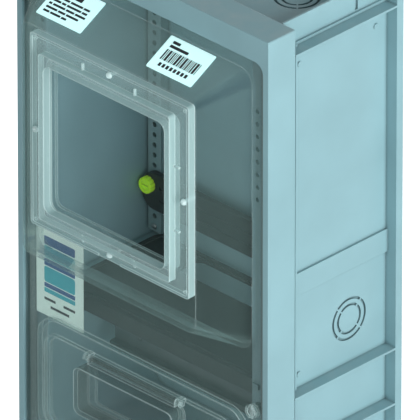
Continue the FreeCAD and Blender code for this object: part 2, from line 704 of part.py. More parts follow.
def make_base_shell():
    """The moulded housing, open at the front, with a shallow pocket towards the wall."""
    body = new_body("base_shell")
    add(body, "flange", FRONT, zero, size.flange_depth, centred(half_width, half_height, size.flange_corner))
    add(body, "walls", FRONT, size.flange_depth, rim_front - size.flange_depth, stepped_walls())
    rim = centred(rim_x, rim_z, size.rim_corner)
    add(body, "rim", FRONT, rim_front - size.rim_depth, size.rim_depth, rim)
    add(body, "ribs", FRONT, size.flange_depth, rib_front - size.flange_depth, *base_ribs())
    add(body, "edge_ribs", FRONT, size.edge_rib_depth, size.rib_thickness, *edge_ribs())
    base_knuckles(body)
    inside = centred(inner_x, inner_z, size.inner_corner)
    cut(body, "inside", FRONT, rim_front, rim_front - panel_front, inside)
    cut(body, "wall_gap", FRONT, zero, size.back_gap, inside, reverse=True)

    slot_back = -(size.parapet_slot_depth - size.parapet_slot / 2)
    slot_front = -(size.parapet_slot_depth + size.parapet_slot / 2)
    slots = []
    for side in (-1, 1):
        outside = (parapet_x + size.rib_thickness) * side
        inner_edge = (parapet_x - size.rib_thickness) * side
        slots.append(rectangle(outside, inner_edge, slot_front, slot_back))
    cut(body, "top_slots", LEVEL, half_height, size.parapet_slot_drop, *slots)
    cut(body, "bottom_slots", LEVEL, -half_height, size.parapet_slot_drop, *slots, reverse=True)

    bosses = [circle(x, z, size.fixing_boss) for x, z in fixing_places]
    add(body, "fixing_bosses", FRONT, zero, size.back_gap, *bosses)
    holes = [circle(x, z, size.fixing_hole) for x, z in fixing_places]
    cut(body, "fixing_holes", FRONT, panel_front, panel_front, *holes)

    ledges = []
    for side in (-1, 1):
        near = (inner_x - size.ledge_reach) * side
        far = (inner_x + size.shell_wall / 2) * side
        ledges.append(rectangle(near, far, -(size.ledge_drop + size.ledge_thickness), -size.ledge_drop))
    add(body, "ledges", FRONT, panel_front, size.ledge_depth - panel_front, *ledges)

    boss_front = rail_front - size.rail_sheet
    bosses = [circle(x, z, size.rail_boss) for x, z in rail_screw_places]
    add(body, "rail_bosses", FRONT, panel_front, boss_front - panel_front, *bosses)
    pilots = [circle(x, z, screw_hole) for x, z in rail_screw_places]
    cut(body, "rail_pilots", FRONT, boss_front, boss_front - size.back_gap - size.shell_wall / 2, *pilots)

    posts = []
    cores = []
    for x, z in din_screw_places:
        wide = size.post_width / 2
        tall = size.post_height / 2
        posts.append(rectangle(x - wide, x + wide, z - tall, z + tall))
        wide = wide - size.shell_wall
        tall = tall - size.shell_wall
        cores.append(rectangle(x - wide, x + wide, z - tall, z + tall))
    add(body, "posts", FRONT, panel_front, size.post_depth - panel_front, *posts)
    core_depth = size.post_depth - size.back_gap - size.shell_wall
    cut(body, "post_cores", FRONT, size.back_gap, core_depth, *cores, reverse=True)
    pilots = [circle(x, z, screw_hole) for x, z in din_screw_places]
    cut(body, "post_pilots", FRONT, size.post_depth, size.shell_wall, *pilots)

    base_side_nubs(body)
    front_lips(body)
    boss = circle(size.lock_reach, -size.lock_drop, size.lock_boss)
    boss_length = size.lock_socket_depth + size.shell_wall
    add(body, "lock_boss", FRONT, rim_front - boss_length, boss_length, boss)
    socket = circle(size.lock_reach, -size.lock_drop, size.lock_socket)
    cut(body, "lock_socket", FRONT, rim_front, size.lock_socket_depth, socket)

    side_places = [(-size.side_knockout_depth, -size.side_knockout_drop)]
    knock_outs(body, "right_knockout", SIDE, wall_x, side_places, 1)
    knock_outs(body, "left_knockout", SIDE, -wall_x, side_places, -1)
    end_places = [(reach, -size.end_knockout_depth) for reach in mirrored_pairs(size.end_knockout_reach)]
    knock_outs(body, "top_knockouts", LEVEL, wall_z, end_places, 1)
    knock_outs(body, "bottom_knockouts", LEVEL, -wall_z, end_places, -1)
    return body


def make_rail(label, side):
    """A perforated channel that stands on the back panel with its open side to the wall."""
    body = new_body(label)
    middle = size.rail_reach * side
    left = middle - size.rail_width / 2
    right = middle + size.rail_width / 2
    sheet_in = size.rail_sheet
    channel = outline(
        (left, -panel_front),
        (left, -rail_front),
        (right, -rail_front),
        (right, -panel_front),
        (right - sheet_in, -panel_front),
        (right - sheet_in, sheet_in - rail_front),
        (left + sheet_in, sheet_in - rail_front),
        (left + sheet_in, -panel_front),
    )
    add(body, "channel", LEVEL, rail_bottom, rail_last_hole + size.rail_end - rail_bottom, channel)
    first_hole = circle(middle, -size.rail_first_hole, size.rail_hole)
    hole = cut(body, "hole", FRONT, rail_front, size.rail_sheet, first_hole)
    row = body.newObject("PartDesign::LinearPattern", f"{label}_holes")
    row.Originals = [hole]
    row.Direction = (hole.Profile[0], ["V_Axis"])
    bind(row, "Length", size.rail_pitch * (size.rail_hole_count - 1))
    bind(row, "Occurrences", size.rail_hole_count)
    body.Tip = row
    doc.recompute()
    return body


def make_divider_shelf():
    """A panel on the ledges, with a cable slot at the back and a lip under its front edge."""
    body = new_body("divider_shelf")
    half = inner_x - size.ledge_reach + size.shelf_overlap
    back = panel_front + size.shelf_gap
    plate = rounded(-half, half, -size.ledge_depth, -back, size.shelf_corner)
    add(body, "plate", LEVEL, -size.ledge_drop, size.shelf_thickness, plate)
    lip_half = inner_x - size.ledge_reach - size.shelf_corner
    lip = rectangle(-lip_half, lip_half, -size.ledge_depth, size.shelf_thickness - size.ledge_depth)
    add(body, "lip", LEVEL, -size.ledge_drop, size.shelf_lip, lip, reverse=True)
    slot = rounded(
        -size.cable_slot_left,
        size.cable_slot_right,
        -size.cable_slot_front,
        -size.cable_slot_back,
        size.shelf_corner,
    )
    cut(body, "cable_slot", LEVEL, shelf_top, size.shelf_thickness, slot)
    rings = []
    for inset in (size.shelf_rim_inset, size.shelf_rim_inset + size.shelf_rim):
        rings.append(
            rounded(
                inset - half,
                half - inset,
                inset - size.ledge_depth,
                -(back + inset),
                size.shelf_corner - inset,
            )
        )
    add(body, "rim", LEVEL, shelf_top, size.shelf_rim_height, *rings)
    return body


def make_din_rail():
    """A hat rail that lies across the posts, with a screw hole over each."""
    body = new_body("breaker_din_rail")
    half = size.din_width / 2
    web = size.din_web / 2
    thin = size.din_sheet
    back = -size.post_depth
    front = -(size.post_depth + size.din_height)
    middle = -size.breaker_drop
    hat = outline(
        (back, middle - web),
        (back, middle + web),
        (front + thin, middle + web),
        (front + thin, middle + half),
        (front, middle + half),
        (front, middle + web - thin),
        (back - thin, middle + web - thin),
        (back - thin, middle - web + thin),
        (front, middle - web + thin),
        (front, middle - half),
        (front + thin, middle - half),
        (front + thin, middle - web),
    )
    add(body, "hat", SIDE, -(size.din_length / 2), size.din_length, hat)
    holes = [circle(x, z, screw_hole) for x, z in din_screw_places]
    cut(body, "holes", FRONT, din_seat, thin, *holes)
    return body


def make_lid_seal():
    """A flat rubber ring on the front rim."""
    body = new_body("lid_seal")
    outer = centred(rim_x - size.seal_margin, rim_z - size.seal_margin, size.rim_corner)
    inner = centred(inner_x + size.seal_margin, inner_z + size.seal_margin, size.inner_corner)
    add(body, "ring", FRONT, rim_front, size.seal_thickness, outer, inner)
    return body


def make_hinge_pins():
    """Two upright pins, each through the two knuckles of the base and one of the lid."""
    pins = []
    length = size.lid_knuckle + (size.knuckle_gap + size.base_knuckle) * 2
    for number, height in enumerate(hinge_heights, start=1):
        pin = doc.addObject("Part::Cylinder", f"hinge_pin_{number}")
        bind(pin, "Radius", size.pin_radius)
        bind(pin, "Height", length)
        bind(pin, "Placement.Base.x", hinge_x)
        bind(pin, "Placement.Base.y", -size.hinge_depth)
        bind(pin, "Placement.Base.z", height - length / 2)
        pins.append(pin)
    return group("hinge_pins", pins)


def make_lid_frame():
    """The opaque frame: a face with a large opening, a skirt round it and the lid's hinge knuckles."""
    body = new_body("lid_frame")
    outer = centred(half_width, half_height, size.lid_corner)
    add(body, "block", FRONT, skirt_back, size.skirt_depth, outer)
    round_front_edges(body)
    skirt_x = half_width - size.skirt_wall
    skirt_z = half_height - size.skirt_wall
    hollow = centred(skirt_x, skirt_z, size.lid_corner)
    cut(body, "hollow", FRONT, skirt_back, size.skirt_depth - size.lid_face, hollow, reverse=True)
    opening = centred(opening_x, opening_z, size.lid_opening_corner)
    cut(body, "opening", FRONT, size.box_depth, size.lid_face, opening)

    web_front = -(size.hinge_depth + size.knuckle_root)
    left = hinge_x - size.knuckle_radius
    right = hinge_x + size.knuckle_radius
    web = rectangle(left, -(half_width - size.skirt_wall / 2), web_front, -skirt_back)
    neck = rectangle(left, right, web_front, -size.hinge_depth)
    barrel = circle(hinge_x, -size.hinge_depth, size.knuckle_radius)
    bore = circle(hinge_x, -size.hinge_depth, size.pin_radius + size.running_clearance)
    for number, height in enumerate(hinge_heights, start=1):
        start = height - size.lid_knuckle / 2
        add(body, f"web_{number}", LEVEL, start, size.lid_knuckle, web)
        add(body, f"neck_{number}", LEVEL, start, size.lid_knuckle, neck)
        add(body, f"barrel_{number}", LEVEL, start, size.lid_knuckle, barrel)
        cut(body, f"bore_{number}", LEVEL, start + size.lid_knuckle, size.lid_knuckle, bore)
    pilots = [circle(x, z, screw_hole) for x, z in cover_screw_places]
    cut(body, "pilots", FRONT, face_back, size.screw_bite + size.screw_play, *pilots, reverse=True)
    return body


def round_front_edges(body):
    """Rounds the edges of the front face of the lid block."""
    edges = []
    for number, edge in enumerate(body.Shape.Edges, start=1):
        box = edge.BoundBox
        if box.YLength < 0.01 and abs(box.YMin + size.box_depth.value) < 0.01:
            edges.append(f"Edge{number}")
    block = body.Tip
    fillet = body.newObject("PartDesign::Fillet", "lid_frame_front_edge")
    fillet.Base = (block, edges)
    bind(fillet, "Radius", size.lid_edge)
    doc.recompute()
    volumes[body.Label] = fillet.Shape.Volume


def hood_outline(inset, top, drop, width, corner):
    """One section of the hood, set in from its outer faces."""
    half = width / 2 - inset
    return rounded(-half, half, inset - drop, top - inset, corner - inset)


def make_clear_cover():
    """The clear moulding: a flat sheet with the hood, the stepped lower field and the ears of the flap."""
    body = new_body("clear_cover")
    edge_x = half_width - size.skirt_wall - size.cover_play
    edge_z = half_height - size.skirt_wall - size.cover_play
    add(body, "sheet", FRONT, cover_back, size.cover_sheet, centred(edge_x, edge_z, size.lid_corner))

    foot = (size.hood_foot_top, size.hood_foot_drop, size.hood_foot_width, size.hood_foot_corner)
    front = (size.hood_front_top, size.hood_front_drop, size.hood_front_width, size.hood_front_corner)
    wall = size.cover_sheet
    loft(
        "PartDesign::AdditiveLoft", body, "hood", face_back, hood_front,
        hood_outline(zero, *foot), hood_outline(zero, *front),
    )
    step_front = face_back + size.field_step
    add(body, "field", FRONT, face_back, size.field_step, field_outline(zero))
    add(body, "field_top", FRONT, step_front, size.field_rise, field_outline(size.field_ledge))
    flap_ears(body)
    loft(
        "PartDesign::SubtractiveLoft", body, "hood_inside", cover_back, hood_front - wall,
        hood_outline(wall, *foot), hood_outline(wall, *front),
    )
    cut(body, "field_inside", FRONT, cover_back, size.field_step, field_outline(wall), reverse=True)
    deep = field_outline(size.field_ledge + wall)
    cut(body, "field_top_inside", FRONT, cover_back, size.field_step + size.field_rise, deep, reverse=True)

    sight = centred(
        size.sight_width / 2, size.sight_height / 2, size.sight_corner, size.window_shift, size.window_rise
    )
    cut(body, "sight", FRONT, hood_front, wall, sight)
    breaker = centred(
        size.breaker_window_width / 2, size.breaker_window_height / 2, size.flap_corner - size.flap_wall,
        zero, -size.breaker_drop,
    )
    cut(body, "breaker_opening", FRONT, field_front, wall, breaker)
    domes = [circle(x, z, screw_hole) for x, z in dome_places]
    cut(body, "window_screw_holes", FRONT, hood_front, wall, *domes)
    holes = [circle(x, z, screw_hole) for x, z in cover_screw_places]
    holes.append(circle(size.lock_reach, -size.lock_drop, size.lock_stud + size.running_clearance))
    cut(body, "screw_holes", FRONT, face_back, size.cover_sheet, *holes)
    return body


def field_outline(inset):
    """The lower field, set in from its outer faces."""
    half = size.field_width / 2 - inset
    low = inset - size.field_bottom_drop
    high = -(size.field_top_drop + inset)
    corner = size.field_corner - inset / 2
    return rounded(-half, half, low, high, corner)


def flap_ears(body):
    """Two ears on the lower field that hold the pin of the flap."""
    start = flap_barrel_half + size.flap_ear_gap
    root = -(field_front - size.field_rise / 2)
    ear = rectangle(-flap_axis_depth, root, flap_axis_z - size.flap_ear, flap_axis_z + size.flap_ear)
    tip = circle(-flap_axis_depth, flap_axis_z, size.flap_ear)
    bore = circle(-flap_axis_depth, flap_axis_z, size.flap_pin_radius + size.pin_seat)
    for name, left in (("left", -(start + size.flap_ear_width)), ("right", start)):
        add(body, f"{name}_ear", SIDE, left, size.flap_ear_width, ear)
        add(body, f"{name}_ear_tip", SIDE, left, size.flap_ear_width, tip)
        cut(body, f"{name}_ear_bore", SIDE, left + size.flap_ear_width, size.flap_ear_width, bore)


def make_window_frame():
    """A frame on the front of the hood: an outer rim, a channel with webs and a higher inner lip."""
    body = new_body("window_frame")
    x, z = size.window_shift, size.window_rise
    outer = centred(size.window_width / 2, size.window_height / 2, size.window_corner, x, z)
    add(body, "rim", FRONT, hood_front, size.window_proud, outer)
    channel = centred(channel_x, channel_z, size.window_corner - size.window_rim / 2, x, z)
    lip = centred(lip_x, lip_z, size.window_lip_corner, x, z)
    rim_top = hood_front + size.window_proud
    deep = size.window_proud - size.window_floor
    cut(body, "channel", FRONT, rim_top, deep, channel, lip)
    add(body, "lip", FRONT, window_front, size.lip_proud - size.window_floor, lip)
    root = size.window_floor / 2
    add(body, "webs", FRONT, hood_front + root, size.web_proud - root, *window_webs())
    sight = centred(size.sight_width / 2, size.sight_height / 2, size.sight_corner, x, z)
    cut(body, "sight", FRONT, hood_front + size.lip_proud, size.lip_proud, sight)
    rebate = centred(pane_x, pane_z, size.sight_corner, x, z)
    cut(body, "rebate", FRONT, hood_front, size.pane_thickness + size.pane_play, rebate, reverse=True)
    half_notch = size.rim_notch / 2
    low = z - size.window_height / 2
    notch = rectangle(x - half_notch, x + half_notch, low - size.window_rim, low + size.window_rim)
    cut(body, "notch", FRONT, rim_top, deep, notch)
    holes = [circle(hole_x, hole_z, screw_hole) for hole_x, hole_z in dome_places]
    cut(body, "screw_holes", FRONT, window_front, size.window_floor, *holes)
    corner_x = channel_x - size.corner_hole_inset
    corner_z = channel_z - size.corner_hole_inset
    corners = [
        circle(x + across, z + up, size.corner_hole)
        for across in mirrored_pairs(corner_x)
        for up in mirrored_pairs(corner_z)
    ]
    cut(body, "corner_holes", FRONT, window_front, size.corner_hole_depth, *corners)
    return body


def window_webs():
    """Short webs at the foot of the inner lip, beside the middle of each side."""
    buried = size.window_rim / 2
    thin = size.window_web / 2
    x, z = size.window_shift, size.window_rise
    webs = []
    for side in (-1, 1):
        for end in (-1, 1):
            along = size.web_spread * end
            near = lip_z - buried
            far = lip_z + size.web_reach
            webs.append(rectangle(x + along - thin, x + along + thin, z + near * side, z + far * side))
            near = lip_x - buried
            far = lip_x + size.web_reach
            webs.append(rectangle(x + near * side, x + far * side, z + along - thin, z + along + thin))
    return webs


def make_window_pane():
    """The clear pane in the rebate of the window frame."""
    body = new_body("window_pane")
    wide = pane_x - size.pane_play
    tall = pane_z - size.pane_play
    pane = centred(wide, tall, size.sight_corner, size.window_shift, size.window_rise)
    add(body, "sheet", FRONT, hood_front, size.pane_thickness, pane)
    return body


def make_window_screws():
    """Four dome screws at the middle of the sides of the window frame."""
    screws = []
    back = hood_front - size.cover_sheet - size.dome_bite
    for number, (x, z) in enumerate(dome_places, start=1):
        shank = rod(f"window_screw_shank_{number}", x, back, z, size.screw_shank, window_front - back)
        head = rod(
            f"window_screw_head_{number}", x, window_front, z, size.dome_head, size.dome_height, size.dome_top
        )
        screws.append(joined(f"window_screw_{number}", shank, head))
    return group("window_screws", screws)


def make_cover_screws():
    """Screws through the edge of the clear cover into the lid face, with their heads inside the box."""
    screws = []
    tip = face_back + size.screw_bite
    for number, (x, z) in enumerate(cover_screw_places, start=1):
        shank = rod(f"cover_screw_shank_{number}", x, cover_back, z, size.screw_shank, tip - cover_back)
        head_back = cover_back - size.screw_head_height
        head = rod(f"cover_screw_head_{number}", x, head_back, z, size.screw_head, size.screw_head_height)
        screws.append(joined(f"cover_screw_{number}", shank, head))
    return group("cover_screws", screws)


def make_shelf_screws():
    """Four screws through the shelf into its ledges."""
    screws = []
    depths = (size.ledge_depth - size.shelf_corner * 2, size.cable_slot_front + size.shelf_corner)
    number = 0
    for x in mirrored_pairs(shelf_screw_x):
        for depth in depths:
            number += 1
            head = doc.addObject("Part::Cylinder", f"shelf_screw_{number}")
            bind(head, "Radius", size.shelf_overlap / 2)
            bind(head, "Height", size.screw_head_height)
            bind(head, "Placement.Base.x", x)
            bind(head, "Placement.Base.y", -depth)
            bind(head, "Placement.Base.z", shelf_top)
            screws.append(head)
    return group("shelf_screws", screws)


def make_flap_pin():
    """The pin through both ears and the barrel of the flap."""
    length = (flap_barrel_half + size.flap_ear_gap + size.flap_ear_width) * 2
    pin = doc.addObject("Part::Cylinder", "flap_pin")
    pin.Label = "flap_pin"
    bind(pin, "Radius", size.flap_pin_radius)
    bind(pin, "Height", length)
    pin.Placement = FreeCAD.Placement(FreeCAD.Vector(), FreeCAD.Rotation(FreeCAD.Vector(0, 1, 0), 90))
    bind(pin, "Placement.Base.x", -(length / 2))
    bind(pin, "Placement.Base.y", -flap_axis_depth)
    bind(pin, "Placement.Base.z", flap_axis_z)
    return pin


def make_breaker_flap():
    """A shallow clear cap, open at the back, with a hinge barrel above its top wall."""
    body = new_body("breaker_flap")
    half_x = size.flap_width / 2
    half_z = size.flap_height / 2
    middle = -size.breaker_drop
    cap = centred(half_x, half_z, size.flap_corner, zero, middle)
    add(body, "cap", FRONT, flap_back, size.flap_depth, cap)
    wall = size.flap_wall
    hollow = centred(half_x - wall, half_z - wall, size.flap_corner - wall, zero, middle)
    cut(body, "hollow", FRONT, flap_back, size.flap_depth - wall, hollow, reverse=True)
    web_front = -(flap_axis_depth + size.flap_barrel)
    web_back = size.flap_barrel - flap_axis_depth
    web = rectangle(web_front, web_back, flap_top - wall / 2, flap_axis_z)
    add(body, "web", SIDE, -flap_barrel_half, flap_barrel_half * 2, web)
    barrel = circle(-flap_axis_depth, flap_axis_z, size.flap_barrel)
    add(body, "barrel", SIDE, -flap_barrel_half, flap_barrel_half * 2, barrel)
    bore = circle(-flap_axis_depth, flap_axis_z, size.flap_pin_radius + size.running_clearance)
    cut(body, "bore", SIDE, flap_barrel_half, flap_barrel_half * 2, bore)
    return body


def make_seal_lock():
    """A turning lock: a slotted head in front of the clear cover and a stud that enters the base."""
    body = new_body("seal_lock")
    seat = face_back + size.rest_gap
    front = seat + size.lock_head_height
    tip = cover_back - size.lock_stud_length
    ring = size.lock_head - size.lock_slot
    profile = (
        (0, tip),
        (size.lock_stud, tip),
        (size.lock_stud, seat),
        (size.lock_head, seat),
        (size.lock_head, front),
        (ring, front),
        (ring, front - size.lock_slot_depth / 2),
        (0, front - size.lock_slot_depth / 2),
    )
    turned(body, "turned", size.lock_reach, -size.lock_drop, profile)
    half = size.lock_slot / 2
    middle = -size.lock_drop
    slot = rectangle(
        size.lock_reach - half, size.lock_reach + half, middle - size.lock_head, middle + size.lock_head
    )
    cut(body, "slot", FRONT, front, size.lock_slot_depth, slot)
    return body


def make_crossbar():
    """The bar in front of the rails, with guides beside them and a hole for each thumb screw."""
    body = new_body("meter_crossbar")
    half = inner_x - size.crossbar_play
    middle = -size.crossbar_drop
    plate = centred(half, size.crossbar_height / 2, size.crossbar_corner, zero, middle)
    add(body, "plate", FRONT, crossbar_back, size.crossbar_thickness, plate)
    guide_outer = size.rail_reach - size.rail_width / 2 - size.guide_play
    guides = []
    for side in (-1, 1):
        near = (guide_outer - size.guide_width) * side
        low = middle - size.guide_length / 2
        guides.append(rectangle(near, guide_outer * side, low, low + size.guide_length))
    add(body, "guides", FRONT, crossbar_back, size.guide_depth, *guides, reverse=True)
    groove_half = guide_outer - size.guide_width
    grooves = []
    for side in (-1, 1):
        groove_z = middle + size.crossbar_groove_spread * side
        thin = size.crossbar_groove / 2
        grooves.append(rectangle(-groove_half, groove_half, groove_z - thin, groove_z + thin))
    cut(body, "grooves", FRONT, crossbar_front, size.crossbar_groove_depth, *grooves)
    hole = size.knob_stud + size.running_clearance
    holes = [circle(x, knob_z, hole) for x in mirrored_pairs(size.rail_reach)]
    cut(body, "stud_holes", FRONT, crossbar_front, size.crossbar_thickness, *holes)
    return body


def make_knob(label, side):
    """A thumb screw with a slotted, notched head; its stud ends just in front of the rail."""
    body = new_body(label)
    x = size.rail_reach * side
    z = knob_z
    seat = crossbar_front + size.rest_gap
    front = seat + size.knob_thickness
    crown = size.knob_radius - size.knob_notch
    dish = front - size.knob_dish_depth
    profile = (
        (0, crossbar_back),
        (size.knob_stud, crossbar_back),
        (size.knob_stud, seat),
        (size.knob_radius, seat),
        (size.knob_radius, front - size.knob_notch),
        (crown, front),
        (size.knob_dish, front),
        (size.knob_dish, dish),
        (0, dish),
    )
    turned(body, "turned", x, z, profile)
    half = size.knob_slot / 2
    slot = rectangle(x - size.knob_dish, x + size.knob_dish, z - half, z + half)
    cut(body, "slot", FRONT, dish, size.knob_slot_depth, slot)
    notch_sketch = new_sketch(
        body, "notch", FRONT, front, [circle(size.knob_radius, zero, size.knob_notch)], x=x, y=z
    )
    notch = body.newObject("PartDesign::Pocket", f"{label}_notch")
    notch.Profile = notch_sketch
    bind(notch, "Length", size.knob_thickness)
    grip = body.newObject("PartDesign::PolarPattern", f"{label}_grip")
    grip.Originals = [notch]
    grip.Axis = (notch_sketch, ["N_Axis"])
    grip.Angle = 360
    bind(grip, "Occurrences", size.knob_notch_count)
    body.Tip = grip
    doc.recompute()
    return body


def make_all():
    """Every sub-part of the box."""
    return [
        make_base_shell(),
        make_rail("meter_rail_left", -1),
        make_rail("meter_rail_right", 1),
        front_screws("rail_screws", rail_screw_places, rail_front, panel_front),
        make_divider_shelf(),
        make_shelf_screws(),
        make_din_rail(),
        front_screws("din_rail_screws", din_screw_places, din_seat, size.post_depth - size.shell_wall),
        make_lid_seal(),
        make_hinge_pins(),
        make_lid_frame(),
        make_clear_cover(),
        make_cover_screws(),
        make_window_frame(),
        make_window_pane(),
        make_window_screws(),
        make_flap_pin(),
        make_breaker_flap(),
        make_seal_lock(),
        make_crossbar(),
        make_knob("crossbar_knob_left", -1),
        make_knob("crossbar_knob_right", 1),
    ]


def check(nodes):
    """Stops if any object failed or any sub-part has no valid solid."""
    for item in doc.Objects:
        if "Invalid" in item.State or "Error" in item.State:
            raise RuntimeError(f"{item.Label} failed: {item.State}")
    for node in nodes:
        if node.Shape.isNull() or not node.Shape.isValid() or not node.Shape.Solids:
            raise RuntimeError(f"{node.Label} has no valid solid")


nodes = make_all()
for node in nodes:
    if node.isDerivedFrom("PartDesign::Body"):
        node.Tip.Refine = True
doc.recompute()
check(nodes)
os.makedirs("parts", exist_ok=True)
for node in nodes:
    node.Shape.exportStep(f"parts/{node.Label}.step")
    print(f"{node.Label}: {len(node.Shape.Solids)} solids, {node.Shape.Volume / 1000:.2f} cm3")
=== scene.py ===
"""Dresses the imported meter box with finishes, screws, stickers and a card, and sets up its studio."""

import json
import math

import bmesh
import bpy
from bpy.props import FloatProperty, FloatVectorProperty, IntProperty, PointerProperty
from mathutils import Matrix, Vector

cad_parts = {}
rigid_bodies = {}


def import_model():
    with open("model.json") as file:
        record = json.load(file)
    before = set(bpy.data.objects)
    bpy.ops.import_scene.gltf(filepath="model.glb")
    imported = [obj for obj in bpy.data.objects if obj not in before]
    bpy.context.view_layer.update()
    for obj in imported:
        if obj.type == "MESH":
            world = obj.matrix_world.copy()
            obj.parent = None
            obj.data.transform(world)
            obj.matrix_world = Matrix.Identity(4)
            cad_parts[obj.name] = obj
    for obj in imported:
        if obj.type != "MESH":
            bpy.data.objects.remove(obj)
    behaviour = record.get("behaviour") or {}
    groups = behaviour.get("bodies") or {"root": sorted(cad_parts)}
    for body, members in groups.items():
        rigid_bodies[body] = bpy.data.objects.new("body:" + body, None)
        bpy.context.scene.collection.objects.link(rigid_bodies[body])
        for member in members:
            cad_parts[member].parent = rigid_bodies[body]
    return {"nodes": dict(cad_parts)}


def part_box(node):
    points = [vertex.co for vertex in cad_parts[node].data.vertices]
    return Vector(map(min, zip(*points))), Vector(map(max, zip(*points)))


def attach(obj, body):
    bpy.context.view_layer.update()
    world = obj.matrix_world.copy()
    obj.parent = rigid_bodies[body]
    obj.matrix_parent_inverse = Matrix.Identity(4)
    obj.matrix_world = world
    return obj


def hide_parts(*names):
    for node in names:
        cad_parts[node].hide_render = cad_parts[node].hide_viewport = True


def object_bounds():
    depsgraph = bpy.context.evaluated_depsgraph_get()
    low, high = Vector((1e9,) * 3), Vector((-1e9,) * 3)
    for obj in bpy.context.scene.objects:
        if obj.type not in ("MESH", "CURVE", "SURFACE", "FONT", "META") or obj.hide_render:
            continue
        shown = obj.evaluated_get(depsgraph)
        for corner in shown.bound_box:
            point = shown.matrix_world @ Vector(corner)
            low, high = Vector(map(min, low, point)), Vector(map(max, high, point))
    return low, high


bl_info = {
    "name": "Meter Box Dressing",
    "version": (1, 0, 0),
    "blender": (4, 5, 0),
    "location": "View3D > Sidebar > Meter Box",
    "description": "Gives the meter box its finishes, screws, stickers, card and studio",
    "category": "Object",
}

for leftover in list(bpy.data.objects):
    bpy.data.objects.remove(leftover)
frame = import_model()
nodes = frame["nodes"]
cad_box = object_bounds()

RIGHT = Vector((1, 0, 0))
UP = Vector((0, 0, 1))
INTO_WALL = Vector((0, 1, 0))
QUARTER_TURN = math.radians(90)
WHITE = (1, 1, 1, 1)
NUMBER = "NodeSocketFloat"
DIRECTION = "NodeSocketVector"
# The mix node has sockets of the same names for each kind of value, so those for colours go by number.
MIX_MASK = 0
MIX_FIRST = 6
MIX_SECOND = 7
MIX_RESULT = 2


def colour(name, description, value):
    """A colour that a user would change."""
    return FloatVectorProperty(
        name=name, description=description, subtype="COLOR", size=3, min=0, max=1, default=value
    )


def length(name, description, value):
    """A length in metres that a user would change."""
    return FloatProperty(name=name, description=description, unit="LENGTH", precision=4, default=value)


class MeterBoxColours(bpy.types.PropertyGroup):
    """Colours of the finishes."""

    housing: colour("Housing", "Moulded base and lid frame", (0.24, 0.41, 0.45))
    fitting: colour("Rails", "Upright rails for the meter", (0.26, 0.40, 0.42))
    black: colour("Black plastic", "Divider shelf and crossbar", (0.007, 0.009, 0.010))
    clear: colour("Clear plastic", "Hooded cover, pane, flap pin and lock", (0.30, 0.48, 0.46))
    # A darker tint than the clear cover, so the breaker flap shows darker than the cover.
    dark_flap: colour("Dark flap plastic", "Breaker flap", (0.13, 0.20, 0.19))
    frosted: colour("Frosted plastic", "Window frame and its screws", (0.50, 0.72, 0.72))
    # Painted highlight along the edges of see-through plastics; also the real tint of the window screws.
    bright: colour("Bright edges", "Edges of the see-through plastics", (0.74, 0.92, 0.92))
    lime: colour("Lime plastic", "Thumb screws of the crossbar", (0.52, 0.95, 0.015))
    zinc: colour("Zinc", "Other screws and hinge pins", (0.58, 0.61, 0.62))
    dark_zinc: colour("Dark zinc", "Hat rail for the breakers and its screws", (0.10, 0.115, 0.12))
    rubber: colour("Rubber", "Seal between base and lid", (0.30, 0.40, 0.40))
    paper: colour("Paper", "Stickers on the hood", (0.67, 1.0, 1.0))
    card: colour("Card", "Stiff card behind the cover", (0.60, 0.78, 0.72))
    ink: colour("Ink", "Bars on the stickers", (0.02, 0.022, 0.03))
    field_blue: colour("Card blue", "Dark stripe of the card", (0.02, 0.09, 0.28))
    field_teal: colour("Card teal", "Pale stripes of the card", (0.02, 0.42, 0.50))
    dust: colour("Dust", "Dust on upward faces", (0.42, 0.50, 0.50))


class MeterBoxSizes(bpy.types.PropertyGroup):
    """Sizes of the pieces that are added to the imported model."""

    sticker_width: length("Sticker width", "Width of a sticker on the hood", 0.0533)
    sticker_height: length("Sticker height", "Height of a sticker along the slope", 0.0355)
    sticker_left: length("Left sticker", "Middle of the left sticker", -0.0700)
    sticker_right: length("Right sticker", "Middle of the right sticker", 0.0612)
    card_width: length("Card width", "Width of the card behind the cover", 0.0563)
    card_height: length("Card height", "Height of the card behind the cover", 0.085)
    card_side: length("Card place", "Middle of the card, sideways", -0.1056)
    card_rise: length("Card height place", "Middle of the card, upright", -0.0729)
    screw_head: length("Screw head", "Radius of the heads of the small screws", 0.0028)
    screw_shank: length("Screw shank", "Radius of the shanks of the small screws", 0.0015)
    screw_inner: length("Inner cover screws", "Middle of the box to the inner cover screws", 0.040)
    dome_head: length("Window screw", "Radius of the domed screws of the window frame", 0.0030)


class MeterBoxStudio(bpy.types.PropertyGroup):
    """Camera and light."""

    azimuth: FloatProperty(
        name="Azimuth", description="Camera round the box", subtype="ANGLE", default=math.radians(44.8)
    )
    elevation: FloatProperty(
        name="Elevation", description="Camera above the horizon", subtype="ANGLE", default=math.radians(29.7)
    )
    view_width: length("View width", "Width of the picture at the box", 0.3555)
    shift_right: length("Aim right", "Front right top corner to the aim, along the picture", -0.04896)
    shift_up: length("Aim up", "Front right top corner to the aim, up the picture", -0.13923)
    aim_depth: length("Aim depth", "Front right top corner to the plane of true scale", 0.2)
    lens: FloatProperty(name="Lens", description="Focal length in millimetres", default=1700, min=1)
    key_power: FloatProperty(
        name="Key light", description="Power of the light on the right", subtype="POWER", default=470
    )
    fill_power: FloatProperty(
        name="Fill light", description="Power of the light in front", subtype="POWER", default=22
    )
    back_power: FloatProperty(
        name="Back light", description="Power of the light behind the box", subtype="POWER", default=75
    )
    low_power: FloatProperty(
        name="Low light", description="Power of the light near the floor", subtype="POWER", default=4
    )
    surroundings: FloatProperty(
        name="Surroundings", description="Strength of the surroundings as a light", default=0.32
    )
    sky: colour("Sky", "Tint of the surroundings as a light", (0.89, 0.95, 0.97))
    floor_sides: IntProperty(name="Floor sides", description="Edges of the round floor", default=96, min=12)


def colours():
    """The colours as they are set now."""
    return bpy.context.scene.meter_box_colours


def sizes():
    """The sizes as they are set now."""
    return bpy.context.scene.meter_box_sizes


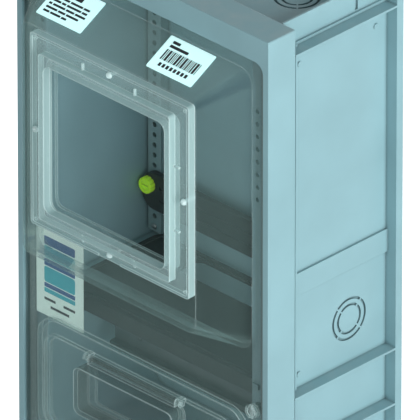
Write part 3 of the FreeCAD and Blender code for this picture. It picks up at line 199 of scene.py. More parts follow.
def feed(tree, socket, value):
    """Sets a socket, or links it where the value is a socket itself."""
    if isinstance(value, bpy.types.NodeSocket):
        tree.links.new(value, socket)
    else:
        socket.default_value = value


def add_node(tree, kind, inputs=(), **settings):
    """A node with its settings and with values or links for its inputs, by name or by number."""
    node = tree.nodes.new(kind)
    for name, value in settings.items():
        setattr(node, name, value)
    for name, value in dict(inputs).items():
        feed(tree, node.inputs[name], value)
    return node


def maths(tree, operation, first, second):
    """One sum on two values, kept between 0 and 1."""
    node = add_node(tree, "ShaderNodeMath", {0: first, 1: second}, operation=operation, use_clamp=True)
    return node.outputs["Value"]


def spread(tree, value, low, high, start=0.0, end=1.0):
    """Stretches a value from one range to another."""
    inputs = {"Value": value, "From Min": start, "From Max": end, "To Min": low, "To Max": high}
    return add_node(tree, "ShaderNodeMapRange", inputs).outputs["Result"]


def blend(tree, mask, first, second):
    """One colour where the mask is 0 and another where it is 1."""
    node = add_node(tree, "ShaderNodeMix", data_type="RGBA")
    feed(tree, node.inputs[MIX_MASK], mask)
    feed(tree, node.inputs[MIX_FIRST], first)
    feed(tree, node.inputs[MIX_SECOND], second)
    return node.outputs[MIX_RESULT]


def shade(tint, factor):
    """A colour made lighter or darker, ready for a socket."""
    return (*[min(part * factor, 1) for part in tint], 1)


def new_group(name, inputs, outputs):
    """A shader node group with named sockets and nothing in it yet."""
    tree = bpy.data.node_groups.new(name, "ShaderNodeTree")
    for label, value in inputs:
        socket = tree.interface.new_socket(label, in_out="INPUT", socket_type=NUMBER)
        socket.default_value = value
    for label, kind in outputs:
        tree.interface.new_socket(label, in_out="OUTPUT", socket_type=kind)
    return tree, tree.nodes.new("NodeGroupInput").outputs, tree.nodes.new("NodeGroupOutput").inputs


def make_grain_group():
    """Moulded texture: a fine height for the bump and a broad tone for colour and gloss."""
    tree, given, result = new_group(
        "moulded_grain", [("Grain", 1800), ("Mottle", 16)], [("Height", NUMBER), ("Tone", NUMBER)]
    )
    place = add_node(tree, "ShaderNodeTexCoord").outputs["Object"]
    fine = add_node(tree, "ShaderNodeTexNoise", {"Vector": place, "Scale": given["Grain"], "Detail": 3})
    broad = add_node(tree, "ShaderNodeTexNoise", {"Vector": place, "Scale": given["Mottle"], "Detail": 6})
    feed(tree, result["Height"], fine.outputs["Fac"])
    feed(tree, result["Tone"], spread(tree, broad.outputs["Fac"], 0, 1, 0.3, 0.7))


def make_edge_group():
    """Softened edges: a rounded normal and a mask that is 1 along the edges, for painted edge highlights."""
    tree, given, result = new_group(
        "soft_edges", [("Width", 0.0008)], [("Edge", NUMBER), ("Normal", DIRECTION)]
    )
    rounded = add_node(tree, "ShaderNodeBevel", {"Radius": given["Width"]}, samples=6).outputs["Normal"]
    flat = add_node(tree, "ShaderNodeNewGeometry").outputs["Normal"]
    along = add_node(tree, "ShaderNodeVectorMath", {0: rounded, 1: flat}, operation="DOT_PRODUCT")
    feed(tree, result["Edge"], spread(tree, along.outputs["Value"], 1, 0, 0.75, 0.995))
    feed(tree, result["Normal"], rounded)


def make_dust_group():
    """Dust: a mask that gathers in patches on faces that look up."""
    tree, given, result = new_group(
        "settled_dust", [("Amount", 0.3), ("Patch", 60), ("Film", 0.0)], [("Dust", NUMBER)]
    )
    place = add_node(tree, "ShaderNodeTexCoord").outputs["Object"]
    noise = add_node(tree, "ShaderNodeTexNoise", {"Vector": place, "Scale": given["Patch"], "Detail": 3})
    outward = add_node(tree, "ShaderNodeNewGeometry").outputs["Normal"]
    rise = add_node(tree, "ShaderNodeSeparateXYZ", {"Vector": outward}).outputs["Z"]
    level = spread(tree, rise, 0, 1, 0.4, 1.0)
    patches = spread(tree, noise.outputs["Fac"], given["Film"], 1, 0.42, 0.72)
    settled = maths(tree, "MULTIPLY", level, patches)
    feed(tree, result["Dust"], maths(tree, "MULTIPLY", settled, given["Amount"]))


SCUFF_STRETCH = (1.0, 1.0, 0.06)
SCUFF_PATCHES = 22


def make_scuff_group():
    """Scuffs: thin upright rub marks in loose patches, for polished faces."""
    tree, given, result = new_group("rub_marks", [("Fineness", 420)], [("Scuff", NUMBER)])
    place = add_node(tree, "ShaderNodeTexCoord").outputs["Object"]
    mapping = add_node(tree, "ShaderNodeMapping", {"Vector": place, "Scale": SCUFF_STRETCH})
    drawn = mapping.outputs["Vector"]
    lines = add_node(tree, "ShaderNodeTexNoise", {"Vector": drawn, "Scale": given["Fineness"], "Detail": 4})
    patches = add_node(tree, "ShaderNodeTexNoise", {"Vector": place, "Scale": SCUFF_PATCHES, "Detail": 3})
    thin = spread(tree, lines.outputs["Fac"], 0, 1, 0.56, 0.74)
    loose = spread(tree, patches.outputs["Fac"], 0, 1, 0.45, 0.75)
    feed(tree, result["Scuff"], maths(tree, "MULTIPLY", thin, loose))


def make_crevice_shade_group():
    """Painted shade: an ambient occlusion mask that is 1 deep in grooves and corners, where shade falls."""
    tree, given, result = new_group("crevices", [("Reach", 0.005)], [("Crevice", NUMBER)])
    opened = add_node(tree, "ShaderNodeAmbientOcclusion", {"Distance": given["Reach"]}, samples=8)
    feed(tree, result["Crevice"], spread(tree, opened.outputs["AO"], 1, 0, 0.25, 0.85))


def make_side_group():
    """Sides of a sheet: a mask that is 1 where a surface runs across the lid and 0 on its broad faces."""
    tree, given, result = new_group("sheet_sides", [("Broad", 0.6)], [("Side", NUMBER)])
    outward = add_node(tree, "ShaderNodeNewGeometry").outputs["Normal"]
    depth = add_node(tree, "ShaderNodeSeparateXYZ", {"Vector": outward}).outputs["Y"]
    forward = add_node(tree, "ShaderNodeMath", {0: depth}, operation="ABSOLUTE").outputs["Value"]
    feed(tree, result["Side"], spread(tree, forward, 1, 0, 0.15, given["Broad"]))


def place_group(tree, name, **values):
    """Puts a shared node group in a material with its own values."""
    node = tree.nodes.new("ShaderNodeGroup")
    node.node_tree = bpy.data.node_groups[name]
    for label, value in values.items():
        node.inputs[label].default_value = value
    return node.outputs


def new_material(name):
    """A material with its node tree and its shader."""
    material = bpy.data.materials.new(name)
    material.use_nodes = True
    tree = material.node_tree
    return material, tree, tree.nodes["Principled BSDF"]


def bumped(tree, shader, height, depth, normal):
    """Feeds a fine height on top of a softened normal to the shader."""
    inputs = {"Height": height, "Distance": depth, "Strength": 1.0, "Normal": normal}
    feed(tree, shader.inputs["Normal"], add_node(tree, "ShaderNodeBump", inputs).outputs["Normal"])


# Moulded plastic gets a painted highlight along its edges and a painted shade in its grooves and corners.
EDGE_HIGHLIGHT_SHARE = 0.8
CREVICE_STRENGTH = 0.75
CREVICE_SHADE = 0.3
PLASTIC_SHEEN = 0.4


def moulded_plastic(name, tint, gloss, dust=0.25, grain=1800, depth=0.000015, edge=1.25, glow=0.0):
    """Opaque plastic with grain, mottled tone and some dust; its edges get a painted highlight, its grooves
    and corners a painted shade and, where glow is set, it has a painted glow; gloss is a roughness pair.
    """
    material, tree, shader = new_material(name)
    texture = place_group(tree, "moulded_grain", Grain=grain)
    edges = place_group(tree, "soft_edges")
    settled = place_group(tree, "settled_dust", Amount=dust)
    toned = blend(tree, texture["Tone"], shade(tint, 0.94), shade(tint, 1.06))
    # Painted highlight: the colour is made lighter along the edges.
    wear_and_edge_highlight = blend(tree, maths(tree, "MULTIPLY", edges["Edge"], EDGE_HIGHLIGHT_SHARE), toned, shade(tint, edge))
    dusty = blend(tree, settled["Dust"], wear_and_edge_highlight, shade(colours().dust, 1))
    # Painted shade: ambient occlusion darkens the colour in grooves and corners.
    deep = maths(tree, "MULTIPLY", place_group(tree, "crevices")["Crevice"], CREVICE_STRENGTH)
    feed(tree, shader.inputs["Base Color"], blend(tree, deep, dusty, shade(tint, CREVICE_SHADE)))
    feed(tree, shader.inputs["Roughness"], spread(tree, texture["Tone"], *gloss))
    bumped(tree, shader, texture["Height"], depth, edges["Normal"])
    shader.inputs["Specular IOR Level"].default_value = PLASTIC_SHEEN
    shader.inputs["Emission Color"].default_value = shade(tint, 1)
    shader.inputs["Emission Strength"].default_value = glow
    return material


CLEAR_SLANT = 0.35
CLEAR_EDGE_WIDTH = 0.0025
CLEAR_DUST_PATCH = 25
CLEAR_DUST_FILM = 0.7
CLEAR_BENDING = 1.5


def clear_plastic(name, tint, veil, gloss, edge_highlight_veil=0.2, wear=0.05, sides=0.0, dust=0.0):
    """See-through plastic that shows more of its colour where it is scuffed, and a pale painted highlight
    along its edges; veil is a pair, how much of the colour shows face on and at a slant."""
    material, tree, shader = new_material(name)
    rubbed = place_group(tree, "rub_marks")
    texture = place_group(tree, "moulded_grain", Grain=900, Mottle=9)
    edges = place_group(tree, "soft_edges", Width=CLEAR_EDGE_WIDTH)
    settled = place_group(tree, "settled_dust", Amount=dust, Patch=CLEAR_DUST_PATCH, Film=CLEAR_DUST_FILM)
    across = place_group(tree, "sheet_sides")
    slant = add_node(tree, "ShaderNodeLayerWeight", {"Blend": CLEAR_SLANT}).outputs["Facing"]
    cover = spread(tree, slant, *veil)
    wear_and_edge_highlight = maths(tree, "MULTIPLY", rubbed["Scuff"], wear)
    # Painted highlight: the edges are made less see-through and take the pale highlight colour.
    edge_highlight_alpha = maths(tree, "MULTIPLY", edges["Edge"], edge_highlight_veil)
    cloudy = maths(tree, "MULTIPLY", across["Side"], sides)
    for extra in (wear_and_edge_highlight, edge_highlight_alpha, cloudy, settled["Dust"]):
        cover = maths(tree, "ADD", cover, extra)
    feed(tree, shader.inputs["Alpha"], cover)
    toned = blend(tree, texture["Tone"], shade(tint, 0.95), shade(tint, 1.05))
    # Painted highlight: the pale colour is painted along the edges.
    edge_highlighted = blend(tree, edges["Edge"], toned, shade(colours().bright, 1))
    feed(tree, shader.inputs["Base Color"], blend(tree, settled["Dust"], edge_highlighted, shade(colours().dust, 1)))
    feed(tree, shader.inputs["Roughness"], spread(tree, rubbed["Scuff"], *gloss))
    shader.inputs["IOR"].default_value = CLEAR_BENDING
    return material


PLATE_EDGE_WIDTH = 0.0003
PLATE_DEPTH = 0.00001
PLATE_GLOSS = (0.28, 0.45)


def plated_metal(name, tint):
    """Zinc-plated steel with soft cloudy patches, a fine grain and a painted highlight along its edges."""
    material, tree, shader = new_material(name)
    texture = place_group(tree, "moulded_grain", Grain=2600, Mottle=240)
    edges = place_group(tree, "soft_edges", Width=PLATE_EDGE_WIDTH)
    toned = blend(tree, texture["Tone"], shade(tint, 0.82), shade(tint, 1.1))
    # Painted highlight: the edges are painted lighter.
    feed(tree, shader.inputs["Base Color"], blend(tree, edges["Edge"], toned, shade(tint, 1.3)))
    feed(tree, shader.inputs["Roughness"], spread(tree, texture["Tone"], *PLATE_GLOSS))
    bumped(tree, shader, texture["Height"], PLATE_DEPTH, edges["Normal"])
    shader.inputs["Metallic"].default_value = 1.0
    return material


SHEET_GLOSS = (0.38, 0.6)


def printed_sheet(name, tint, glow=0.0):
    """Coated paper or ink with faint fibres and a slight sheen; a little painted glow, light that the sheet
    gives off though it is no lamp, keeps white paper white.
    """
    material, tree, shader = new_material(name)
    shader.inputs["Emission Color"].default_value = shade(tint, 1)
    shader.inputs["Emission Strength"].default_value = glow
    texture = place_group(tree, "moulded_grain", Grain=5200, Mottle=70)
    toned = blend(tree, texture["Tone"], shade(tint, 0.96), shade(tint, 1.03))
    feed(tree, shader.inputs["Base Color"], toned)
    feed(tree, shader.inputs["Roughness"], spread(tree, texture["Height"], *SHEET_GLOSS))
    return material


def dress(material, *names):
    """Gives CAD nodes a finish."""
    for name in names:
        slots = nodes[name].data.materials
        slots.clear()
        slots.append(material)


def new_piece(name, mesh, body, slot, *materials):
    """Makes an object of a finished mesh, links it and lets it ride on a body."""
    data = bpy.data.meshes.new(name)
    mesh.to_mesh(data)
    mesh.free()
    piece = bpy.data.objects.new(name, data)
    bpy.context.scene.collection.objects.link(piece)
    for material in materials:
        data.materials.append(material)
    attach(piece, body)
    return piece


def facing(middle, right, up):
    """A matrix whose X runs to the right, whose Y runs up and whose Z looks out of a face."""
    columns = (right.normalized(), up.normalized(), right.cross(up).normalized())
    turn = Matrix(columns).transposed().to_4x4()
    return Matrix.Translation(middle) @ turn


def rounded_corners(width, height, radius, steps=6):
    """Points round a rectangle with round corners, in order."""
    points = []
    for number, (across, up) in enumerate(((1, 1), (-1, 1), (-1, -1), (1, -1))):
        middle = Vector((across * (width / 2 - radius), up * (height / 2 - radius), 0))
        for step in range(steps + 1):
            angle = QUARTER_TURN * (number + step / steps)
            points.append(middle + Vector((math.cos(angle), math.sin(angle), 0)) * radius)
    return points


def add_plate(mesh, matrix, width, height, corner, low, high, material=0):
    """Adds a flat plate with round corners between two heights over a face."""
    rings = []
    for level in (low, high):
        points = rounded_corners(width, height, corner)
        rings.append([mesh.verts.new(matrix @ (point + Vector((0, 0, level)))) for point in points])
    bottom, top = rings
    faces = [mesh.faces.new(top), mesh.faces.new(reversed(bottom))]
    for index in range(len(top)):
        following = (index + 1) % len(top)
        faces.append(mesh.faces.new((bottom[index], bottom[following], top[following], top[index])))
    for face in faces:
        face.material_index = material


BAR_CORNER = 0.15
BAR_ROOT = 0.5


def add_bar(mesh, matrix, left, low, width, height, paper, ink, material=1):
    """Adds a printed bar, whose lower left corner is given, on top of a sheet."""
    middle = Matrix.Translation((left + width / 2, low + height / 2, 0))
    corner = min(width, height) * BAR_CORNER
    add_plate(mesh, matrix @ middle, width, height, corner, paper * BAR_ROOT, paper + ink, material)


LATHE_SIDES = 32


def add_lathe(mesh, matrix, profile):
    """Turns a profile of (radius, height) points that starts and ends on the axis round the local Z axis."""
    rings = []
    for radius, height in profile:
        if radius == 0:
            rings.append([mesh.verts.new(matrix @ Vector((0, 0, height)))])
            continue
        ring = []
        for side in range(LATHE_SIDES):
            angle = math.tau * side / LATHE_SIDES
            point = Vector((radius * math.cos(angle), radius * math.sin(angle), height))
            ring.append(mesh.verts.new(matrix @ point))
        rings.append(ring)
    for lower, upper in zip(rings, rings[1:]):
        for side in range(LATHE_SIDES):
            following = (side + 1) % LATHE_SIDES
            corners = [lower[side % len(lower)], lower[following % len(lower)]]
            corners += [upper[following % len(upper)], upper[side % len(upper)]]
            mesh.faces.new(list(dict.fromkeys(corners)))


def add_block(mesh, matrix, width, breadth, low, high):
    """Adds a square block between two heights."""
    place = Matrix.Translation((0, 0, (low + high) / 2)) @ Matrix.Diagonal((width, breadth, high - low, 1))
    bmesh.ops.create_cube(mesh, size=1, matrix=matrix @ place)


def carved(piece, cutter):
    """Takes a cutting mesh out of a piece for good."""
    data = bpy.data.meshes.new("cutter")
    cutter.to_mesh(data)
    cutter.free()
    tool = bpy.data.objects.new("cutter", data)
    bpy.context.scene.collection.objects.link(tool)
    boolean = piece.modifiers.new("recess", "BOOLEAN")
    boolean.object = tool
    boolean.operation = "DIFFERENCE"
    boolean.solver = "EXACT"
    bpy.context.view_layer.update()
    ready = piece.evaluated_get(bpy.context.evaluated_depsgraph_get())
    result = bpy.data.meshes.new_from_object(ready)
    if not result.polygons:
        raise RuntimeError(f"nothing is left of {piece.name} after its recess")
    piece.modifiers.clear()
    piece.data = result
    bpy.data.objects.remove(tool)


TIP_CHAMFER = 0.3
# Outline of a pan head, as shares of its radius and of its height.
PAN_OUTLINE = ((0.96, 0), (1, 0.12), (0.99, 0.45), (0.9, 0.72), (0.7, 0.91), (0.4, 1), (0, 1))


def pan_profile(head, shank, tall, long):
    """Half outline of a pan-head screw from the tip of its shank to its crown, measured from its seat."""
    tip = shank * TIP_CHAMFER
    profile = [(0, -long), (shank - tip, -long), (shank, tip - long), (shank, 0)]
    return profile + [(head * across, tall * up) for across, up in PAN_OUTLINE]


def corner_places(node):
    """Middles of the screws at a node's corners, or at its ends if it is one screw tall."""
    low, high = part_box(node)
    head = sizes().screw_head
    sides = (low.x + head, high.x - head)
    heights = [low.z + head, high.z - head]
    if high.z - low.z < 3 * head:
        heights = [(low.z + high.z) / 2]
    return [(side, height) for side in sides for height in heights]


HEAD_TALL = 0.0018
# The bars of a cross recess differ a little in depth, so that no cut runs along the floor of the one before.
RECESS_DEEP = (0.0011, 0.00105)
RECESS_WIDE = 0.0007
RECESS_LONG = 0.0034
SHELF_SCREW_SCALE = 0.7
SHELF_SCREW_LONG = 0.001
TURN_STEP = math.radians(37)


def add_pan_screw(mesh, cutters, matrix, long, turn):
    """Adds a pan-head screw and, to each of two cutting meshes, one bar of its turned cross recess."""
    head, shank = sizes().screw_head, sizes().screw_shank
    add_lathe(mesh, matrix, pan_profile(head, shank, HEAD_TALL, long))
    for cutter, across, deep in zip(cutters, (0, QUARTER_TURN), RECESS_DEEP):
        turned = matrix @ Matrix.Rotation(turn + across, 4, "Z")
        add_block(cutter, turned, RECESS_LONG, RECESS_WIDE, HEAD_TALL - deep, HEAD_TALL * 2)


def screw_turn(number):
    """A different angle for each screw of a set."""
    return TURN_STEP * number


def finish_screws(name, node, body, material, mesh, cutters):
    """Makes one piece of a set of screws that stands for a CAD node."""
    piece = new_piece(name, mesh, body, "plated_steel", material)
    for cutter in cutters:
        carved(piece, cutter)
    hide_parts(node)


def make_pan_screws(name, node, material):
    """Screws of the base that look forward out of the box."""
    mesh, cutters = bmesh.new(), (bmesh.new(), bmesh.new())
    low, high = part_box(node)
    seat = low.y + HEAD_TALL
    for number, (side, height) in enumerate(corner_places(node)):
        matrix = facing(Vector((side, seat, height)), RIGHT, UP)
        add_pan_screw(mesh, cutters, matrix, high.y - seat, screw_turn(number))
    finish_screws(name, node, "base", material, mesh, cutters)


def make_shelf_screws(material):
    """Screws that hold the shelf on its ledges and look up."""
    mesh, cutters = bmesh.new(), (bmesh.new(), bmesh.new())
    low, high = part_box("shelf_screws")
    head = sizes().screw_head * SHELF_SCREW_SCALE
    scale = Matrix.Diagonal((SHELF_SCREW_SCALE, SHELF_SCREW_SCALE, 1, 1))
    sides = (low.x + head, high.x - head)
    depths = (low.y + head, high.y - head)
    places = [(side, depth) for side in sides for depth in depths]
    for number, (side, depth) in enumerate(places):
        matrix = facing(Vector((side, depth, low.z)), RIGHT, INTO_WALL) @ scale
        add_pan_screw(mesh, cutters, matrix, SHELF_SCREW_LONG, screw_turn(number))
    finish_screws("shelf_screw_set", "shelf_screws", "base", material, mesh, cutters)


def make_cover_screws(material):
    """Screws that hold the clear cover in the lid frame and look into the box."""
    mesh, cutters = bmesh.new(), (bmesh.new(), bmesh.new())
    low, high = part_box("cover_screws")
    seat = high.y - HEAD_TALL
    inner = sizes().screw_inner
    corners = corner_places("cover_screws")
    heights = sorted({height for side, height in corners})
    places = corners + [(side, height) for side in (-inner, inner) for height in heights]
    for number, (side, height) in enumerate(places):
        matrix = facing(Vector((side, seat, height)), -RIGHT, UP)
        add_pan_screw(mesh, cutters, matrix, seat - low.y, screw_turn(number))
    finish_screws("cover_screw_set", "cover_screws", "lid", material, mesh, cutters)


DOME_RISE = 1.05
DOME_STEPS = 7
SLOT_LONG = 1.3
SLOT_WIDE = 0.22
SLOT_FLOOR = 0.72
DOME_VEIL = (0.55, 0.85)
DOME_GLOSS = (0.2, 0.4)


def make_window_screws():
    """Domed plastic screws with one slot, at the middle of each side of the window frame."""
    mesh, cutter = bmesh.new(), bmesh.new()
    low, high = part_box("window_screws")
    head, shank = sizes().dome_head, sizes().screw_shank
    middle = (low + high) / 2
    tall = head * DOME_RISE
    seat = low.y + tall
    places = [(low.x + head, middle.z), (high.x - head, middle.z)]
    places += [(middle.x, low.z + head), (middle.x, high.z - head)]
    for number, (side, height) in enumerate(places):
        matrix = facing(Vector((side, seat, height)), RIGHT, UP)
        profile = [(0, seat - high.y), (shank, seat - high.y), (shank, 0)]
        for step in range(DOME_STEPS):
            angle = QUARTER_TURN * step / DOME_STEPS
            profile.append((head * math.cos(angle), tall * math.sin(angle)))
        profile.append((0, tall))
        add_lathe(mesh, matrix, profile)
        turned = matrix @ Matrix.Rotation(screw_turn(number), 4, "Z")
        add_block(cutter, turned, head * SLOT_LONG, head * SLOT_WIDE, tall * SLOT_FLOOR, tall * 2)
    material = clear_plastic("screw_plastic", colours().bright, DOME_VEIL, DOME_GLOSS)
    piece = new_piece("window_screw_set", mesh, "lid", "frosted_plastic", material)
    carved(piece, cutter)
    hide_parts("window_screws")


STICKER_THICK = 0.00025
STICKER_CORNER = 0.0012
INK_THICK = 0.00004
STICKER_LIFT = 0.00005
STICKER_ALONG = 0.595
SLOPE_FRONT = Vector((0, -0.202, 0.1995))
SLOPE_FOOT = Vector((0, -0.159, 0.223))


def sticker_matrix(side):
    """Where a sticker lies on the top slope of the hood."""
    along = SLOPE_FOOT - SLOPE_FRONT
    matrix = facing(SLOPE_FRONT + along * STICKER_ALONG, RIGHT, along)
    return Matrix.Translation((side, 0, 0)) @ matrix @ Matrix.Translation((0, 0, STICKER_LIFT))


def add_row(mesh, matrix, left, low, tall, runs, gap):
    """Adds a row of short printed bars with even gaps between them."""
    for run in runs:
        add_bar(mesh, matrix, left, low, run, tall, STICKER_THICK, INK_THICK)
        left += run + gap


# Bars of the left sticker in units of its width, and heights as shares of its height.
NOTE_UNITS = 45
NOTE_MARGIN = 0.42
NOTE_HEADING = (8, 14)
NOTE_HEADING_LOW = 0.22
NOTE_HEADING_TALL = 0.16
NOTE_ROWS = ((5, 9, 12, 6), (9, 4, 14, 5), (3, 12, 8, 10), (11, 7, 12), (6, 10, 5))
NOTE_ROW_LOW = 0.09
NOTE_ROW_STEP = 0.115
NOTE_ROW_TALL = 0.06


def make_note_sticker(paper, ink):
    """A sticker with one thick row of bars over five thin rows."""
    mesh = bmesh.new()
    width, height = sizes().sticker_width, sizes().sticker_height
    matrix = sticker_matrix(sizes().sticker_left)
    add_plate(mesh, matrix, width, height, STICKER_CORNER, 0, STICKER_THICK)
    left = -width * NOTE_MARGIN
    unit = width / NOTE_UNITS
    heading = [unit * run for run in NOTE_HEADING]
    add_row(mesh, matrix, left, height * NOTE_HEADING_LOW, height * NOTE_HEADING_TALL, heading, unit * 2)
    for number, row in enumerate(NOTE_ROWS):
        runs = [unit * run for run in row]
        low = height * (NOTE_ROW_LOW - NOTE_ROW_STEP * number)
        add_row(mesh, matrix, left, low, height * NOTE_ROW_TALL, runs, unit)
    return new_piece("hood_note_sticker", mesh, "lid", "frosted_plastic", paper, ink)


# Widths of the stripes of the right sticker in units, and its other measures as shares of its size.
STRIPES = (2, 1, 3, 1, 2, 1, 1, 3, 2, 1, 3, 1, 2, 1, 1, 2, 3, 1)
STRIPES_WIDE = 0.78
STRIPES_LOW = -0.18
STRIPES_TALL = 0.32
STRIPES_MARGIN = 0.38
TITLE_BARS = ((0.32, 0.16), (0.2, 0.4))
TITLE_TALL = 0.08
BLOCK_COUNT = 8
BLOCK_WIDE = 0.055
BLOCK_LOW = -0.36
BLOCK_TALL = 0.11


def make_stripe_sticker(paper, ink):
    """A sticker with two short bars over a row of upright stripes and a row of small blocks under it."""
    mesh = bmesh.new()
    width, height = sizes().sticker_width, sizes().sticker_height
    matrix = sticker_matrix(sizes().sticker_right)
    add_plate(mesh, matrix, width, height, STICKER_CORNER, 0, STICKER_THICK)
    left = -width * STRIPES_MARGIN
    for low, share in TITLE_BARS:
        add_row(mesh, matrix, left, height * low, height * TITLE_TALL, [width * share], 0)
    unit = width * STRIPES_WIDE / (sum(STRIPES) + len(STRIPES))
    stripes = [unit * stripe for stripe in STRIPES]
    add_row(mesh, matrix, left, height * STRIPES_LOW, height * STRIPES_TALL, stripes, unit)
    block = width * BLOCK_WIDE
    blocks = [block] * BLOCK_COUNT
    add_row(mesh, matrix, left + block, height * BLOCK_LOW, height * BLOCK_TALL, blocks, block / 2)
    return new_piece("hood_stripe_sticker", mesh, "lid", "frosted_plastic", paper, ink)


CARD_THICK = 0.0008
CARD_CORNER = 0.0004
CARD_FIELD = 0.66
CARD_BAR_TALL = 0.03
# Low edge and height of each band as shares of the card's height, and the number of its material.
CARD_BANDS = (
    (0.32, 0.10, 3),
    (0.17, 0.14, 2),
    (0.08, 0.08, 3),
    (-0.11, 0.18, 2),
    (-0.17, 0.05, 3),
    (-0.23, 0.05, 2),
)
# Low edge, left edge and width of each bar as shares of the card's size.
CARD_BARS = ((-0.32, -0.33, 0.24), (-0.32, 0.08, 0.25), (-0.4, -0.2, 0.4))


def make_card(paper, ink, teal, blue):
    """A stiff card behind the clear cover: stacked bands of colour over three plain bars."""
    mesh = bmesh.new()
    width, height = sizes().card_width, sizes().card_height
    cover_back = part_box("clear_cover")[1].y
    middle = Vector((sizes().card_side, cover_back + CARD_THICK + STICKER_LIFT, sizes().card_rise))
    matrix = facing(middle, RIGHT, UP)
    add_plate(mesh, matrix, width, height, CARD_CORNER, 0, CARD_THICK)
    field = width * CARD_FIELD
    for low, tall, tint in CARD_BANDS:
        add_bar(mesh, matrix, -field / 2, height * low, field, height * tall, CARD_THICK, INK_THICK, tint)
    bar_tall = height * CARD_BAR_TALL
    for low, left, share in CARD_BARS:
        add_bar(mesh, matrix, width * left, height * low, width * share, bar_tall, CARD_THICK, INK_THICK)
    return new_piece("cover_card", mesh, "lid", "frosted_plastic", paper, ink, teal, blue)


class METERBOX_OT_groups(bpy.types.Operator):
    """Makes the node groups that several finishes share"""

    bl_idname = "meterbox.groups"
    bl_label = "Shared Effects"

    def execute(self, context):
        make_grain_group()
        make_edge_group()
        make_dust_group()
        make_scuff_group()
        make_crevice_shade_group()
        make_side_group()
        return {"FINISHED"}


HOUSING_GLOSS = (0.42, 0.6)
RUBBER_GLOSS = (0.75, 0.9)
RUBBER_GRAIN = 900
# How much lighter the painted edge highlight of the rubber is.
RUBBER_EDGE_HIGHLIGHT = 1.6


class METERBOX_OT_housing(bpy.types.Operator):
    """Finishes the moulded base and the lid frame"""

    bl_idname = "meterbox.housing"
    bl_label = "Housing"

    def execute(self, context):
        housing = moulded_plastic("housing_plastic", colours().housing, HOUSING_GLOSS)
        dress(housing, "base_shell", "lid_frame")
        rubber = moulded_plastic(
            "seal_rubber", colours().rubber, RUBBER_GLOSS, grain=RUBBER_GRAIN, edge=RUBBER_EDGE_HIGHLIGHT
        )
        dress(rubber, "lid_seal")
        return {"FINISHED"}


POLISHED = (0.08, 0.3)
COVER_VEIL = (-0.015, 0.48)
FLAP_VEIL = (0.08, 0.42)
SMALL_VEIL = (-0.02, 0.38)
PANE_VEIL = (-0.02, 0.14)
PANE_GLOSS = (0.03, 0.2)
FROSTED_VEIL = (0.18, 0.6)
FROSTED_GLOSS = (0.25, 0.4)


class METERBOX_OT_cover(bpy.types.Operator):
    """Finishes the clear cover, the window, the breaker flap and the sealing lock"""

    bl_idname = "meterbox.cover"
    bl_label = "Clear Cover"

    def execute(self, context):
        clear = colours().clear
        hood = clear_plastic("clear_cover_plastic", clear, COVER_VEIL, POLISHED, sides=0.08, dust=0.16)
        dress(hood, "clear_cover")
        flap = clear_plastic("flap_plastic", colours().dark_flap, FLAP_VEIL, POLISHED, sides=0.1, dust=0.1)
        dress(flap, "breaker_flap")
        small = clear_plastic("small_plastic", clear, SMALL_VEIL, POLISHED, sides=0.1, dust=0.15)
        dress(small, "flap_pin", "seal_lock")
        pane = clear_plastic("pane_plastic", clear, PANE_VEIL, PANE_GLOSS, wear=0.01)
        dress(pane, "window_pane")
        frosted = clear_plastic(
            "frosted_plastic", colours().frosted, FROSTED_VEIL, FROSTED_GLOSS, wear=0.0, sides=0.25
        )
        dress(frosted, "window_frame")
        return {"FINISHED"}


RAIL_GLOSS = (0.4, 0.55)
BLACK_GLOSS = (0.55, 0.7)
BLACK_DEPTH = 0.000006
# How much lighter the painted edge highlight of the black plastic is.
BLACK_EDGE_HIGHLIGHT = 2.4
LIME_GLOSS = (0.25, 0.4)
# Painted glow of the lime plastic: light it gives off though it is no lamp.
LIME_GLOW = 0.15


class METERBOX_OT_fittings(bpy.types.Operator):
    """Finishes the rails, the shelf, the crossbar with its thumb screws, the hat rail and the pins"""

    bl_idname = "meterbox.fittings"
    bl_label = "Fittings"

    def execute(self, context):
        rails = moulded_plastic("rail_plastic", colours().fitting, RAIL_GLOSS)
        dress(rails, "meter_rail_left", "meter_rail_right")
        black = moulded_plastic(
            "black_plastic", colours().black, BLACK_GLOSS, dust=0.015, depth=BLACK_DEPTH, edge=BLACK_EDGE_HIGHLIGHT
        )
        dress(black, "divider_shelf", "meter_crossbar")
        lime = moulded_plastic("lime_plastic", colours().lime, LIME_GLOSS, dust=0.1, glow=LIME_GLOW)
        dress(lime, "crossbar_knob_left", "crossbar_knob_right")
        dress(plated_metal("zinc_plate", colours().zinc), "hinge_pins")
        dress(plated_metal("dark_zinc_plate", colours().dark_zinc), "breaker_din_rail")
        return {"FINISHED"}


class METERBOX_OT_screws(bpy.types.Operator):
    """Adds the pan-head screws of the box and the domed screws of the window frame"""

    bl_idname = "meterbox.screws"
    bl_label = "Screws"

    def execute(self, context):
        zinc = plated_metal("screw_plate", colours().zinc)
        dark_zinc = plated_metal("dark_screw_plate", colours().dark_zinc)
        make_pan_screws("rail_screw_set", "rail_screws", zinc)
        make_pan_screws("hat_rail_screw_set", "din_rail_screws", dark_zinc)
        make_shelf_screws(zinc)
        make_cover_screws(zinc)
        make_window_screws()
        return {"FINISHED"}


# Painted glow of the sticker paper and the card: light they give off though they are no lamps.
PAPER_GLOW = 0.42
CARD_GLOW = 0.18


class METERBOX_OT_labels(bpy.types.Operator):
    """Adds the two stickers on the hood and the card behind the cover"""

    bl_idname = "meterbox.labels"
    bl_label = "Stickers and Card"

    def execute(self, context):
        paper = printed_sheet("label_paper", colours().paper, glow=PAPER_GLOW)
        ink = printed_sheet("label_ink", colours().ink)
        make_note_sticker(paper, ink)
        make_stripe_sticker(paper, ink)
        teal = printed_sheet("card_teal", colours().field_teal)
        blue = printed_sheet("card_blue", colours().field_blue)
        card = printed_sheet("card_paper", colours().card, glow=CARD_GLOW)
        make_card(card, ink, teal, blue)
        return {"FINISHED"}


